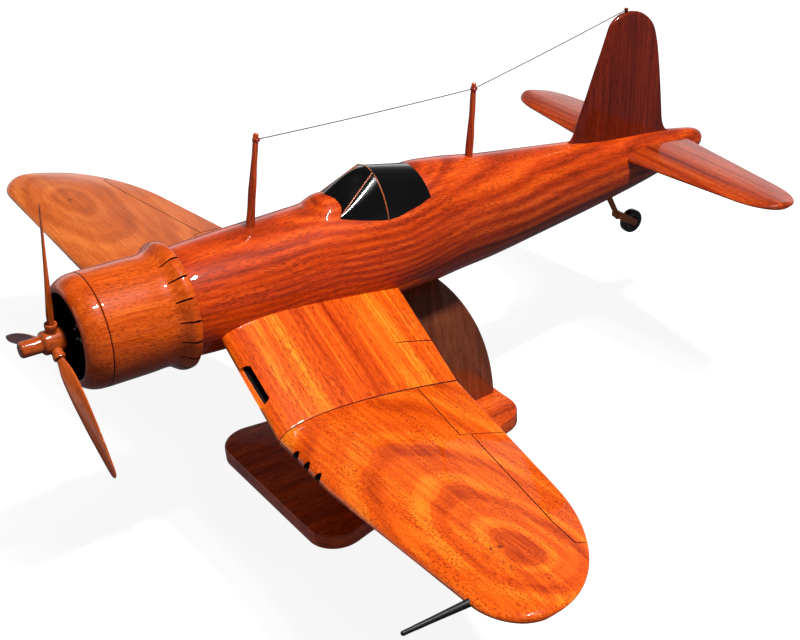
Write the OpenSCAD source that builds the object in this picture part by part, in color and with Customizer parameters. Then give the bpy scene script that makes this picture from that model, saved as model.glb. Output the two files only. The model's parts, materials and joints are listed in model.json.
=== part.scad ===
// Wooden desk model of an inverted gull-wing propeller fighter on a stand.
// Object frame: +Z up, the nose points to -Y and the port wing to +X.
// The origin is the centre of the stand base's underside. Millimetres.
// The airframe is drawn level, with the propeller hub's centre at [0, 0, 0],
// and in_flight() then lifts it onto the stand with its nose up.

/* [Stand] */
// Length of the base board
base_l = 151; // [130:1:180]
// Width of the base board at its front
base_front_w = 115; // [100:1:130]
// Width of the base board at its rear
base_rear_w = 65; // [56:1:90]
// Thickness of the base board
base_t = 9; // [8:0.5:14]
// Corner radius of the base board
base_corner_r = 16; // [8:1:20]
// Thickness of the upright
upright_t = 13; // [10:0.5:16]
// Diameter of the two locating pegs
peg_d = 4; // [3:0.5:5]
// How far the pegs enter the belly
peg_reach = 9; // [6:1:12]

/* [Attitude] */
// Nose-up angle of the airframe
pitch = 4.5; // [3:0.5:6]
// Height of the propeller hub above the table
hub_h = 139; // [136:1:142]
// Distance of the propeller hub ahead of the origin
hub_ahead = 167.5; // [165:0.5:170]

/* [Cowling] */
// Greatest radius of the cowling
cowl_r = 27.4; // [26:0.1:29]
// Radius of the cowling's mouth
mouth_r = 21; // [18:0.1:22]
// Distance of the mouth behind the hub's centre
mouth_y = 6.6; // [6:0.1:8]
// Distance of the joint behind the nose ring
ring_joint_y = 17.5; // [16:0.5:20]
// Radius of the flared flaps
flap_r = 31; // [29:0.5:32]
// Number of flap slots round the cowling
flap_slots = 18; // [12:2:30]

/* [Propeller] */
// Radius of the propeller
blade_reach = 70.7; // [60:0.1:74]
// Number of blades
blade_count = 3; // [3:1:3]
// Angle of the first blade from the port side
blade_start = 83.9; // [0:0.1:119]
// Diameter of the propeller shaft
shaft_d = 4; // [3:0.5:4]

/* [Wings] */
// Half of the wing span
half_span = 248.2; // [240:0.1:256]
// Distance of the fold joint from the centre line
fold_x = 79; // [70:1:90]
// Thickness of the wing at its root
root_t = 15; // [12:0.5:16]
// Thickness of the wing at the fold joint
fold_t = 12.5; // [9:0.5:14]
// Radius of the gun ports
gun_r = 2.3; // [1.5:0.1:2.8]

/* [Tail] */
// Half of the tailplane's span
tail_half_span = 105.2; // [95:0.1:110]
// Height of the fin's tip above the thrust line
fin_h = 90.7; // [80:0.1:95]
// Radius of the tail wheel
tail_wheel_r = 6.8; // [5:0.1:8]
// Width of the tail wheel's tyre
tail_wheel_w = 4.6; // [3:0.1:5]

/* [Aerial] */
// Height of the front mast's top above the thrust line
mast_front_z = 73.4; // [66:0.2:76]
// Height of the rear mast's top above the thrust line
mast_rear_z = 71.6; // [60:0.2:76]
// Diameter of the aerial thread
thread_d = 0.5; // [0.4:0.1:1]

/* [Hidden] */
$fn = 64;

MAHOGANY = [0.72, 0.30, 0.10];
DARK_MAHOGANY = [0.30, 0.12, 0.06];
BLACK = [0.05, 0.05, 0.06];
BRASS = [0.75, 0.58, 0.30];
STEEL = [0.62, 0.63, 0.65];
EPS = 0.01;

// Running clearance of the shafts and of the pegs, on the radius.
running_gap = 0.05;
// Gap between the upright's saddle and the belly.
saddle_gap = 0.3;

// Stand
base_corner_y = base_l / 2 - base_corner_r;
upright_foot_rear = 70;
upright_foot_front = -39;
upright_head_rear = 24;
upright_head_front = -20;
upright_top = 112;
upright_arc_r = 128;
peg_ys = [-8, 10];
peg_root_z = 80;
peg_top_z = 98 + peg_reach;
screw_ys = [-18, 46];
screw_r = 1.75;
screw_head_r = 3.6;
screw_head_h = 2.6;
screw_l = 30;
screw_sink = 0.4;

// Engine bay, along the thrust line
flap_start_y = 47;
flap_end_y = 60;
flap_peak_y = 57;
spigot_r = 22;
spigot_y = 36;
bay_r = 23.6;
plate_t = 4;
plate_y = spigot_y - plate_t;
cylinder_y = 26.5;
cylinder_r = 3.7;
cylinder_count = 9;
crankcase_r = 8;
cylinder_head_r = 18.6;
dome_y = 13;
shaft_r = shaft_d / 2;
bush_r = shaft_r + 0.9;
bush_y = 11.5;
collar_y = spigot_y + 0.3;
collar_t = 2;
collar_r = 3.6;
collar_pocket_r = 4.6;
collar_pocket_end = 42;

// Propeller
hub_nose_y = -15.4;
hub_nose_r = 3.9;
boss_r = 5.6;
boss_y = 4.4;
neck_end_y = 9.4;
socket_r = 1.9;
socket_floor = 2.9;
ferrule_r = 2.9;
ferrule_from = 5.0;
ferrule_to = 9.6;
blade_root = 8.4;

// Fuselage stations: distance behind the hub, half width, half height, centre height
fuselage_stations = [
  [60, 25.6, 25.8, 0], [72, 27, 27.2, 0], [95, 27.6, 28.3, 0], [120, 27.6, 29, 0.3],
  [145, 27.4, 29.7, 0.7], [170, 27, 30.4, 1.4], [185, 26.6, 32, 3.2], [198, 26, 33.2, 4.7],
  [215, 25, 31.6, 4.6], [242, 22.8, 28.3, 3.4], [270, 20, 24.9, 3.2], [300, 16.8, 21.3, 3.2],
  [330, 13.8, 17.4, 3.5], [352, 11.4, 14.4, 4], [375, 8.6, 10.4, 5], [386, 6.9, 8, 5.6],
  [393, 5.6, 6.1, 5.9], [396.8, 3.6, 3.9, 6.1], [398.2, 1.4, 1.6, 6.2]
];
RING_SIDES = 36;

// Wing stations
root_x = 24;
wing_start_x = 15;
root_le = [71.5, -11.5];
root_te = [171.7, -16.1];
fold_le = [69.1, -38.2];
fold_te = [166.8, -39.9];
mid_le = 64.8;
mid_x = 128;
tip_start_x = 181;
tip_front_start_x = 226;
tip_y = 82.5;
te_slope = -0.234;
outer_rise = 0.0651;
outer_wash = 0.022;
FOIL_STEPS = 9;
foil_upper = 0.62;
foil_edge_t = 0.7;
gun_xs = [95, 105.8, 116.6];
gun_y = 64;
gun_depth = 12;
gun_plug_from = 7;
slot_x0 = 41.5;
slot_x1 = 63.5;
slot_h = 4.2;
slot_rise = 2.4;
slot_depth = 13;
slot_insert_from = 8;
pitot_x = 224;
pitot_y0 = 35.2;
pitot_y1 = 74;
pitot_z = -28.8;
dowel_r = 1.5;

// Tail
stab_z = 10.5;
stab_le_root = 330;
stab_te_root = 381.8;
stab_le_slope = 0.122;
stab_te_slope = -0.114;
stab_tip_start_x = 81;
stab_tip_y = 357;
fin_base_z = 8;
fin_tip_y = 336;
// The fin's leading and trailing edges: height, distance behind the hub.
fin_le = [
  [fin_base_z, 297], [25, 301], [36.6, 305.1], [47, 309.2], [61, 314.4], [72.8, 319], [80, 321.6], [85, 323.7],
  [87.6, 326.1], [89.4, 329.6], [90.3, 333], [fin_h, 337]
];
fin_te = [
  [fin_base_z, 369], [24.5, 367], [35, 365.5], [55, 362.3], [66, 360.2], [74.7, 357.9], [79.6, 355.9], [83.5, 352.9],
  [87.8, 347.4], [89.8, 342.8], [fin_h, 338.4]
];
wheel_y = 349;
wheel_z = -34.6;
hub_wheel_r = 3.2;
axle_r = 0.9;
fork_t = 0.9;
strut_r = 1.5;
strut_root = [0, 328, -10];
strut_knee = [0, 338.5, -29.2];

// Aerial
mast_front_foot = [0, 102.8, 27];
mast_rear_foot = [0, 231.5, 27];
mast_front_top = [0, 109, mast_front_z];
mast_rear_top = [0, 234.5, mast_rear_z];
mast_root_r = 2.3;
mast_sink = 6;
mast_tip_r = 1.3;
bead_r = 1.7;
bead_drop = 2.4;
fin_pin_h = 2.6;
fin_pin_r = 0.9;
fin_pin_foot = [0, fin_tip_y - 1, fin_h - 2.4];
fin_pin_top = fin_pin_foot + [0, 0, fin_pin_h + 2];

function mix(a, b, t) = a + (b - a) * t;
function clamp01(t) = max(0, min(1, t));

// A closed skin over rings of points, each ring with the same number of points.
module skin(rings) {
  n = len(rings[0]);
  last = len(rings) - 1;
  points = [for (ring = rings) each ring];
  sides = [
    for (k = [0 : last - 1], i = [0 : n - 1])
      let (a = k * n + i, b = k * n + (i + 1) % n, c = a + n, d = b + n)
        each [[a, b, d], [a, d, c]]
  ];
  front = [[for (i = [n - 1 : -1 : 0]) i]];
  back = [[for (i = [0 : n - 1]) last * n + i]];
  polyhedron(points = points, faces = concat(front, sides, back), convexity = 4);
}

// An upright ellipse across the thrust line.
function oval(y, a, b, zc, grow = 0, n = RING_SIDES) =
  [for (i = [0 : n - 1]) [(a + grow) * cos(360 * i / n), y, zc + (b + grow) * sin(360 * i / n)]];

module fuselage_skin(grow = 0) {
  skin([for (s = fuselage_stations) oval(s[0], s[1], s[2], s[3], grow)]);
}

// Half thickness of a streamlined section of thickness 1 at s along its chord.
function foil_half(s) =
  (0.2969 * sqrt(s) - 0.1260 * s - 0.3516 * s * s + 0.2843 * s * s * s - 0.1015 * s * s * s * s) / 0.2;

// Points [along, across] round a section: from its nose over one side and back along the other.
function foil(chord, thick, upper = foil_upper, edge = foil_edge_t) =
  concat(
    [for (j = [0 : FOIL_STEPS]) let (s = (1 - cos(180 * j / FOIL_STEPS)) / 2)
      [s * chord, 2 * upper * thick * foil_half(s) + s * edge / 2]],
    [for (j = [FOIL_STEPS : -1 : 1]) let (s = (1 - cos(180 * j / FOIL_STEPS)) / 2)
      [s * chord, -2 * (1 - upper) * thick * foil_half(s) - s * edge / 2]]
  );

// Wing section at x, between the edge points le and te, each [y, z].
function wing_ring(x, le, te, thick) =
  [for (p = foil(te[0] - le[0], thick))
    [x, le[0] + p[0], mix(le[1], te[1], p[0] / (te[0] - le[0])) + p[1]]];

function inner_le(x) = mix(root_le, fold_le, (x - root_x) / (fold_x - root_x));
function inner_te(x) = mix(root_te, fold_te, (x - root_x) / (fold_x - root_x));
function inner_t(x) = mix(root_t, fold_t, (x - root_x) / (fold_x - root_x));

function tip_part(x) = clamp01((x - tip_start_x) / (half_span - tip_start_x));
function nose_part(x) = clamp01((x - tip_front_start_x) / (half_span - tip_front_start_x));
function straight_te(x) = fold_te[0] + te_slope * (x - fold_x);
function outer_z(x, y) = fold_le[1] + outer_rise * (x - fold_x) - outer_wash * (y - fold_le[0]);
function outer_le_y(x) =
  mix(mix(fold_le[0], mid_le, clamp01((x - fold_x) / (mid_x - fold_x))), tip_y,
    1 - sqrt(1 - pow(nose_part(x), 2)));
function outer_te_y(x) =
  mix(tip_y, straight_te(x), pow(1 - pow(tip_part(x), 2.25), 1 / 2.25));
function outer_t(x) =
  mix(fold_t, 8, clamp01((x - fold_x) / (tip_start_x - fold_x))) * sqrt(1 - 0.8 * pow(tip_part(x), 3));
function outer_ring(x) =
  let (a = outer_le_y(x), b = outer_te_y(x))
    wing_ring(x, [a, outer_z(x, a)], [b, outer_z(x, b)], outer_t(x) * clamp01((b - a) / 40));

outer_xs = [
  fold_x, 104, 128, 155, tip_start_x, 200, 214, 226, 234, 240, 244.5, half_span - 1, half_span - 0.15
];

module wing_inner_raw() {
  skin([for (x = [wing_start_x, root_x, 42, 60, fold_x]) wing_ring(x, inner_le(x), inner_te(x), inner_t(x))]);
}

// Lifts the level airframe onto the stand.
module in_flight() {
  translate([0, -hub_ahead, hub_h]) rotate([-pitch, 0, 0]) children();
}

// A cylinder along +Y from y0 to y1.
module along_y(y0, y1, r) {
  translate([0, y0, 0]) rotate([-90, 0, 0]) cylinder(h = y1 - y0, r = r);
}

// A solid of revolution about the thrust line from [radius, y] points.
module turned(points) {
  rotate([-90, 0, 0]) rotate_extrude() polygon(points);
}

// A straight rod between two points of the YZ plane, with end radii r0 and r1.
module rod(a, b, r0, r1) {
  d = b - a;
  translate(a) rotate([-atan2(d[1], d[2]), 0, 0]) cylinder(h = norm(d), r1 = r0, r2 = r1);
}

module at_pegs() {
  for (y = peg_ys) translate([0, y, 0]) children();
}

// ---------- Stand ----------

module base_plan() {
  hull() {
    for (side = [-1, 1]) {
      translate([side * (base_front_w / 2 - base_corner_r), -base_corner_y]) circle(base_corner_r);
      translate([side * (base_rear_w / 2 - base_corner_r + 1), base_corner_y]) circle(base_corner_r - 1);
    }
  }
}

module screw_shape(gap = 0) {
  translate([0, 0, screw_sink]) {
    cylinder(h = screw_head_h, r1 = screw_head_r + gap, r2 = screw_r + gap);
    cylinder(h = screw_l, r = screw_r + gap);
  }
}

module at_screws() {
  for (y = screw_ys) translate([0, y, 0]) children();
}

module stand_base() {
  color(DARK_MAHOGANY) difference() {
    linear_extrude(base_t) base_plan();
    at_screws() screw_shape();
    at_screws() translate([0, 0, -EPS]) cylinder(h = screw_sink + 2 * EPS, r = screw_head_r);
  }
}

// Side outline of the upright, [y, z], with curved front and rear edges.
module upright_plan() {
  difference() {
    polygon([
      [upright_foot_front, base_t], [upright_foot_rear, base_t], [upright_foot_rear, 60],
      [upright_head_rear + 12, upright_top], [upright_head_front, upright_top],
      [upright_head_front - 6, 60]
    ]);
    // Rear edge: everything outside a large circle is cut away.
    difference() {
      translate([upright_head_rear - 30, base_t]) square([120, upright_top]);
      translate([upright_foot_rear - upright_arc_r, base_t + 1]) circle(upright_arc_r, $fn = 180);
    }
  }
}

module stand_upright() {
  color(DARK_MAHOGANY) difference() {
    translate([-upright_t / 2, 0, 0]) rotate([90, 0, 90]) linear_extrude(upright_t) upright_plan();
    in_flight() fuselage_skin(saddle_gap);
    at_screws() screw_shape();
    at_pegs() translate([0, 0, peg_root_z]) cylinder(h = peg_reach + 40, r = peg_d / 2);
  }
}

module stand_screws() {
  color(STEEL) at_screws() screw_shape();
}

module stand_pegs() {
  color(BRASS) at_pegs() translate([0, 0, peg_root_z]) {
    cylinder(h = peg_top_z - peg_root_z - peg_d / 4, r = peg_d / 2);
    translate([0, 0, peg_top_z - peg_root_z - peg_d / 4])
      cylinder(h = peg_d / 4, r1 = peg_d / 2, r2 = peg_d / 4);
  }
}

// ---------- Airframe ----------

module peg_bores() {
  at_pegs() translate([0, 0, 60]) cylinder(h = peg_top_z + 1 - 60, r = peg_d / 2 + running_gap);
}

// A mast runs on below its foot, into the fuselage.
module mast_shape(foot, top) {
  rod(foot - [0, 0, mast_sink], top, mast_root_r, mast_tip_r);
}

module strut_shape() {
  rod(strut_root, strut_knee, strut_r + 0.3, strut_r);
}

module fuselage() {
  color(MAHOGANY) difference() {
    in_flight() difference() {
      union() {
        fuselage_skin();
        coaming();
        along_y(spigot_y, fuselage_stations[0][0] + 4, spigot_r);
      }
      along_y(spigot_y - EPS, collar_pocket_end, collar_pocket_r);
      mast_shape(mast_front_foot, mast_front_top);
      mast_shape(mast_rear_foot, mast_rear_top);
      strut_shape();
      wing_root_dowel_shapes();
      stabilizer_dowel_shapes();
      fin_dowel_shapes();
    }
    peg_bores();
  }
}

// Outer profile of the nose ring, as an eighth-turn bulge from the mouth to the joint.
function nose_profile() =
  [for (a = [0 : 10 : 90]) [mouth_r + (cowl_r - mouth_r) * sin(a), ring_joint_y - (ring_joint_y - mouth_y) * cos(a)]];

module cowl_nose_ring() {
  color(MAHOGANY) in_flight() turned(concat(
    nose_profile(),
    [[bay_r, ring_joint_y], [bay_r - 1, mouth_y + 5], [mouth_r - 0.6, mouth_y + 2], [mouth_r - 0.5, mouth_y + 0.4]]
  ));
}

module cowling() {
  color(MAHOGANY) in_flight() turned([
    [cowl_r - 0.15, ring_joint_y], [cowl_r + 0.1, ring_joint_y + 6], [cowl_r + 0.1, flap_start_y - 7],
    [cowl_r - 0.5, flap_start_y], [spigot_r, flap_start_y], [spigot_r, spigot_y - plate_t],
    [bay_r, spigot_y - plate_t], [bay_r, ring_joint_y]
  ]);
}

module cowl_flap_ring() {
  slot_w = 0.7;
  color(MAHOGANY) in_flight() difference() {
    turned([
      [spigot_r, flap_start_y], [cowl_r - 0.5, flap_start_y], [cowl_r + 0.4, flap_start_y + 4],
      [flap_r - 0.8, flap_peak_y - 2.4], [flap_r, flap_peak_y], [flap_r - 0.5, flap_end_y - 0.8],
      [flap_r - 1.6, flap_end_y], [spigot_r, flap_end_y]
    ]);
    // No slot at the very top, where the ring runs on unbroken.
    for (i = [1 : flap_slots - 1])
      rotate([0, 270 + i * 360 / flap_slots, 0])
        translate([cowl_r - 0.4, flap_start_y + 3.6, -slot_w / 2]) cube([8, 12, slot_w]);
  }
}

module engine_plate() {
  color(BLACK) in_flight() difference() {
    along_y(plate_y, spigot_y, spigot_r);
    along_y(plate_y - 1, spigot_y + 1, bush_r);
  }
}

module engine_cylinders() {
  fin_gap = 1.8;
  color(BLACK) in_flight() difference() {
    for (i = [0 : cylinder_count - 1])
      rotate([0, i * 360 / cylinder_count, 0]) translate([0, cylinder_y, crankcase_r - 2]) {
        cylinder(h = cylinder_head_r - crankcase_r + 2, r = cylinder_r - 0.5);
        for (k = [0 : 3]) translate([0, 0, 4.2 + k * fin_gap]) cylinder(h = 0.9, r = cylinder_r);
        translate([0, 0, cylinder_head_r - crankcase_r + 2 - EPS]) sphere(r = cylinder_r);
      }
    along_y(dome_y, plate_y + 1, crankcase_r);
  }
}

module gearbox_dome() {
  color(BLACK) in_flight() turned([
    [bush_r, dome_y], [4.2, dome_y], [5.6, dome_y + 1], [6.9, dome_y + 3.6], [7.3, dome_y + 7],
    [crankcase_r, dome_y + 8], [crankcase_r, plate_y], [bush_r, plate_y]
  ]);
}

module shaft_bush() {
  color(BRASS) in_flight() difference() {
    along_y(bush_y, spigot_y, bush_r);
    along_y(bush_y - 1, spigot_y + 1, shaft_r + running_gap);
  }
}

// ---------- Canopy ----------

// Where the canopy's lower edge meets the fuselage: distance behind the hub, angle up the side.
canopy_edge = [
  [144.8, 59], [155, 50.5], [162.6, 45.5], [168.6, 42.4], [176, 41], [185.4, 41], [193.5, 42.7], [197, 43.4]
];
// Height of the windscreen's middle line.
windscreen_ridge = [[144.8, 34.6], [151.5, 38.6], [155.8, 40.9], [160.2, 42.6], [163.1, 43.3], [168.6, 43.2]];
canopy_start = 144.8;
hood_end = 194.5;
// How far the hood's rear edge stands above the fuselage.
hood_lap = 0.2;
// How quickly the hood's sides stop following the fuselage above its lower edge.
hood_settle = 2;
hoop_y = 168.6;
hoop_a = 20.2;
hoop_b = 29.2;
hoop_z = 14;
hoop_t = 1.2;
hoop_proud = 0.4;
pillar_foot = [13.6, 26.9];
pillar_head = [6.5, 42.3];
pillar_r = 0.6;
side_bulge = 0.09;
coaming_half_w = 14.3;
coaming_base_z = 22;
coaming_ridge = [[133, 27], [136.5, 31], [139.5, 33.2], [142, 34.3], [canopy_start, 34.6]];
SCREEN_STEPS = 6;
HOOD_STEPS = 8;

body_a = [for (s = fuselage_stations) [s[0], s[1]]];
body_b = [for (s = fuselage_stations) [s[0], s[2]]];
body_z = [for (s = fuselage_stations) [s[0], s[3]]];

// A point on the fuselage at distance y and angle th up its port side, as [x, z].
function body_at(y, th, grow = 0) =
  [(lookup(y, body_a) + grow) * cos(th), lookup(y, body_z) + (lookup(y, body_b) + grow) * sin(th)];

// A closed ring at y from the port half of its outline, [x, z] from the lower edge to the top.
function mirrored_ring(y, half) =
  let (foot = half[0] - [4, 7], n = len(half))
    concat(
      [[foot[0], y, foot[1]]],
      [for (p = half) [p[0], y, p[1]]],
      [for (i = [n - 2 : -1 : 0]) [-half[i][0], y, half[i][1]]],
      [[-foot[0], y, foot[1]]]
    );

// Port half of the windscreen's outline at y: a flat side panel, then half of the middle panel.
function screen_half(y) =
  let (
    t = (y - canopy_start) / (hoop_y - canopy_start),
    low = body_at(y, lookup(y, canopy_edge)),
    edge = mix(pillar_foot, pillar_head, t),
    out = [edge[1] - low[1], low[0] - edge[0]] / norm(edge - low)
  )
    concat(
      [for (k = [0 : 3])
        let (s = k / 4) mix(low, edge, s) + out * side_bulge * norm(edge - low) * 4 * s * (1 - s)],
      [for (k = [4 : -1 : 0])
        [edge[0] * k / 4, lookup(y, windscreen_ridge) + (edge[1] - lookup(y, windscreen_ridge)) * pow(k / 4, 2)]]
    );

// Port half of the hood's outline at y, running straight from the hoop's arch to the rear edge.
function hood_half(y, grow = 0) =
  let (
    w = (y - hoop_y) / (hood_end - hoop_y),
    arch_th = asin((body_at(hoop_y, lookup(hoop_y, canopy_edge))[1] - hoop_z) / hoop_b),
    rear_th = lookup(hood_end, canopy_edge),
    line = [
      for (k = [0 : HOOD_STEPS])
        let (u = k / HOOD_STEPS, a = mix(arch_th, 90, u))
          mix(
            [(hoop_a + grow) * cos(a), hoop_z + (hoop_b + grow) * sin(a)],
            body_at(hood_end, mix(rear_th, 90, u), grow + hood_lap),
            w
          )
    ],
    shift = body_at(y, lookup(y, canopy_edge), grow) - line[0]
  )
    [for (k = [0 : HOOD_STEPS]) line[k] + shift * pow(1 - k / HOOD_STEPS, hood_settle)];

// A low wooden rise in front of the windscreen.
module coaming() {
  skin([for (s = coaming_ridge)
    [for (i = [0 : 12])
      let (a = 15 * i)
        [coaming_half_w * cos(a), s[0], coaming_base_z + (s[1] - coaming_base_z) * sin(a)]]]);
}

module windscreen() {
  color(BLACK) in_flight() difference() {
    skin([for (k = [0 : SCREEN_STEPS])
      let (y = mix(canopy_start, hoop_y - hoop_t / 2, k / SCREEN_STEPS)) mirrored_ring(y, screen_half(y))]);
    fuselage_skin();
    pillar_shapes();
  }
}

module canopy_hood() {
  color(BLACK) in_flight() difference() {
    skin([for (k = [0 : SCREEN_STEPS])
      let (y = mix(hoop_y + hoop_t / 2, hood_end, k / SCREEN_STEPS)) mirrored_ring(y, hood_half(y))]);
    fuselage_skin();
  }
}

module canopy_hoop() {
  color(MAHOGANY) in_flight() difference() {
    skin([for (y = [hoop_y - hoop_t / 2, hoop_y + hoop_t / 2])
      mirrored_ring(y, hood_half(hoop_y, hoop_proud))]);
    fuselage_skin();
  }
}

// The two sloping frame strips of the windscreen, inlaid flush.
module pillar_shapes() {
  for (side = [-1, 1])
    hull() {
      translate([side * pillar_foot[0], canopy_start + 0.4, pillar_foot[1]]) sphere(r = pillar_r, $fn = 16);
      translate([side * pillar_head[0], hoop_y - 1, pillar_head[1] - 0.6]) sphere(r = pillar_r, $fn = 16);
    }
}

module windscreen_pillars() {
  color(MAHOGANY) in_flight() difference() {
    pillar_shapes();
    fuselage_skin();
    coaming();
    canopy_hoop_space();
  }
}

module canopy_hoop_space() {
  translate([-30, hoop_y - hoop_t / 2, 0]) cube([60, 10, 60]);
}

module slot_shape(from, to) {
  slope = atan2(fold_le[1] - root_le[1], fold_x - root_x);
  mid_slot = (slot_x0 + slot_x1) / 2;
  le = inner_le(mid_slot);
  translate([mid_slot, le[0], le[1] + slot_rise]) rotate([0, -slope, 0])
    translate([-(slot_x1 - slot_x0) / 2, from, -slot_h / 2]) cube([slot_x1 - slot_x0, to - from, slot_h]);
}

module wing_inner() {
  color(MAHOGANY) difference() {
    wing_inner_raw();
    fuselage_skin();
    slot_shape(-8, slot_depth);
    wing_root_dowel_shapes();
    wing_fold_dowel_shapes();
  }
}

module gun_holes() {
  for (x = gun_xs)
    translate([x, 0, outer_z(x, gun_y) + 0.6]) along_y(gun_y - 3, gun_y + gun_depth, gun_r);
}

module gun_plugs() {
  color(BLACK) for (x = gun_xs)
    translate([x, 0, outer_z(x, gun_y) + 0.6]) along_y(gun_y + gun_plug_from, gun_y + gun_depth, gun_r);
}

module pitot_shape() {
  translate([pitot_x, 0, pitot_z]) {
    translate([0, pitot_y0 + 1, 0]) sphere(r = 1);
    translate([0, pitot_y0 + 1, 0]) rotate([-90, 0, 0]) cylinder(h = 31, r1 = 1, r2 = 1.7);
    along_y(pitot_y0 + 31, pitot_y1, 1.2);
  }
}

module wing_outer(with_pitot) {
  color(MAHOGANY) difference() {
    skin([for (x = outer_xs) outer_ring(x)]);
    gun_holes();
    wing_fold_dowel_shapes();
    if (with_pitot) pitot_shape();
  }
}

module starboard() {
  mirror([1, 0, 0]) children();
}

// Two dowels a side join the inner panels to the fuselage.
module wing_root_dowel_shapes() {
  for (side = [-1, 1], y = [100, 135])
    translate([side * 14, y, -11.5]) rotate([0, side * 116, 0]) cylinder(h = 24, r = dowel_r);
}

// Two dowels a side join the outer panels to the inner ones.
module wing_fold_dowel_shapes() {
  for (side = [-1, 1], y = [92, 122])
    translate([side * (fold_x - 9), y, -37.5]) rotate([0, side * 90, 0]) cylinder(h = 18, r = dowel_r);
}

module intake_insert() {
  color(BLACK) slot_shape(slot_insert_from, slot_depth);
}

function stab_part(x) = clamp01((x - stab_tip_start_x) / (tail_half_span - stab_tip_start_x));
function stab_round(x) = pow(1 - pow(stab_part(x), 2.5), 0.4);
function stab_ring(x) =
  let (
    a = mix(stab_tip_y, stab_le_root + stab_le_slope * x, stab_round(x)),
    b = mix(stab_tip_y, stab_te_root + stab_te_slope * x, stab_round(x)),
    thick = mix(5.6, 3.4, clamp01(x / tail_half_span)) * clamp01((b - a) / 14)
  )
    wing_ring(x, [a, stab_z], [b, stab_z], thick);
stab_xs = [3, 30, 60, stab_tip_start_x, 90, 97, 101.5, 104, tail_half_span - 0.1];

module stabilizer() {
  color(MAHOGANY) difference() {
    skin([for (x = stab_xs) stab_ring(x)]);
    fuselage_skin();
    fin_skin();
    stabilizer_dowel_shapes();
  }
}

// One dowel a side joins each tailplane half to the fuselage.
module stabilizer_dowel_shapes() {
  for (side = [-1, 1])
    translate([side * 3, 345, stab_z]) rotate([0, side * 90, 0]) cylinder(h = 22, r = 1);
}

// Fin section at height z; its tip rounds over at the top.
function fin_ring(z) =
  let (
    a = lookup(z, fin_le),
    b = lookup(z, fin_te),
    thick = mix(6.4, 3.6, z / fin_h) * clamp01((b - a) / 14)
  )
    [for (p = foil(b - a, thick, 0.5)) [p[1], a + p[0], z]];
fin_zs = [fin_base_z, 30, 50, 66, 74, 80, 85, 88.4, 90.2, fin_h - 0.1];

module fin_skin() {
  skin([for (z = fin_zs) fin_ring(z)]);
}

module fin() {
  color(DARK_MAHOGANY) in_flight() difference() {
    fin_skin();
    fuselage_skin();
    fin_dowel_shapes();
    rod(fin_pin_foot, fin_pin_top, fin_pin_r, fin_pin_r);
  }
}

module fin_dowel_shapes() {
  for (y = [330, 352]) translate([0, y, 4]) cylinder(h = 26, r = 1.1);
}

module fin_pin() {
  color(DARK_MAHOGANY) in_flight() rod(fin_pin_foot, fin_pin_top, fin_pin_r, fin_pin_r);
}

module mast(foot, top) {
  color(MAHOGANY) in_flight() mast_shape(foot, top);
}

module mast_beads() {
  color(DARK_MAHOGANY) in_flight() difference() {
    for (i = [0 : 1]) translate(thread_knots[i]) sphere(r = bead_r);
    mast_shape(mast_front_foot, mast_front_top);
    mast_shape(mast_rear_foot, mast_rear_top);
  }
}

// The thread runs from bead to bead and on to the pin on the fin.
thread_knots = [
  mast_front_top - [0, 0, bead_drop], mast_rear_top - [0, 0, bead_drop], fin_pin_top - [0, 0, 1]
];

module antenna_thread() {
  color(BLACK) in_flight() difference() {
    for (i = [0 : 1]) rod(thread_knots[i], thread_knots[i + 1], thread_d / 2, thread_d / 2);
    for (i = [0 : 1]) translate(thread_knots[i]) sphere(r = bead_r);
    rod(fin_pin_foot, fin_pin_top, fin_pin_r, fin_pin_r);
  }
}

// ---------- Tail wheel ----------

module fork_plates() {
  for (side = [-1, 1])
    translate([side * (tail_wheel_w / 2 + 0.5 + fork_t / 2), 0, 0]) rotate([90, 0, 90])
      translate([0, 0, -fork_t / 2]) linear_extrude(fork_t) hull() {
        translate([wheel_y, wheel_z]) circle(1.9, $fn = 32);
        translate([strut_knee[1] + 1, strut_knee[2] + 0.5]) circle(2.2, $fn = 32);
      }
}

module tail_strut() {
  color(BRASS) in_flight() difference() {
    strut_shape();
    fork_bridge();
  }
}

module fork_bridge() {
  w = tail_wheel_w + 1 + 2 * fork_t;
  translate([-w / 2, strut_knee[1] - 1.6, strut_knee[2] - 1.6]) cube([w, 3, 4]);
}

module tail_fork() {
  color(BRASS) in_flight() difference() {
    union() {
      fork_plates();
      fork_bridge();
    }
    translate([0, wheel_y, wheel_z]) rotate([0, 90, 0]) cylinder(h = 20, r = axle_r, center = true);
    translate([0, wheel_y, wheel_z]) rotate([0, 90, 0])
      cylinder(h = tail_wheel_w + 1, r = tail_wheel_r + 0.4, center = true);
  }
}

module tail_axle() {
  color(STEEL) in_flight() translate([0, wheel_y, wheel_z]) rotate([0, 90, 0])
    cylinder(h = tail_wheel_w + 1 + 2 * fork_t, r = axle_r, center = true);
}

module tail_tyre() {
  shoulder = 1.5;
  color(BLACK) in_flight() translate([0, wheel_y, wheel_z]) rotate([0, 90, 0]) rotate_extrude() difference() {
    union() {
      translate([hub_wheel_r, -tail_wheel_w / 2 + shoulder])
        square([tail_wheel_r - hub_wheel_r, tail_wheel_w - 2 * shoulder]);
      translate([hub_wheel_r, -tail_wheel_w / 2]) square([tail_wheel_r - hub_wheel_r - shoulder, tail_wheel_w]);
      for (side = [-1, 1]) translate([tail_wheel_r - shoulder, side * (tail_wheel_w / 2 - shoulder)])
        circle(shoulder, $fn = 32);
    }
  }
}

module tail_wheel_hub() {
  color(DARK_MAHOGANY) in_flight() translate([0, wheel_y, wheel_z]) rotate([0, 90, 0]) difference() {
    cylinder(h = tail_wheel_w - 0.4, r = hub_wheel_r, center = true);
    cylinder(h = tail_wheel_w + 2, r = axle_r + running_gap, center = true);
  }
}

// ---------- Propeller ----------

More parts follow.
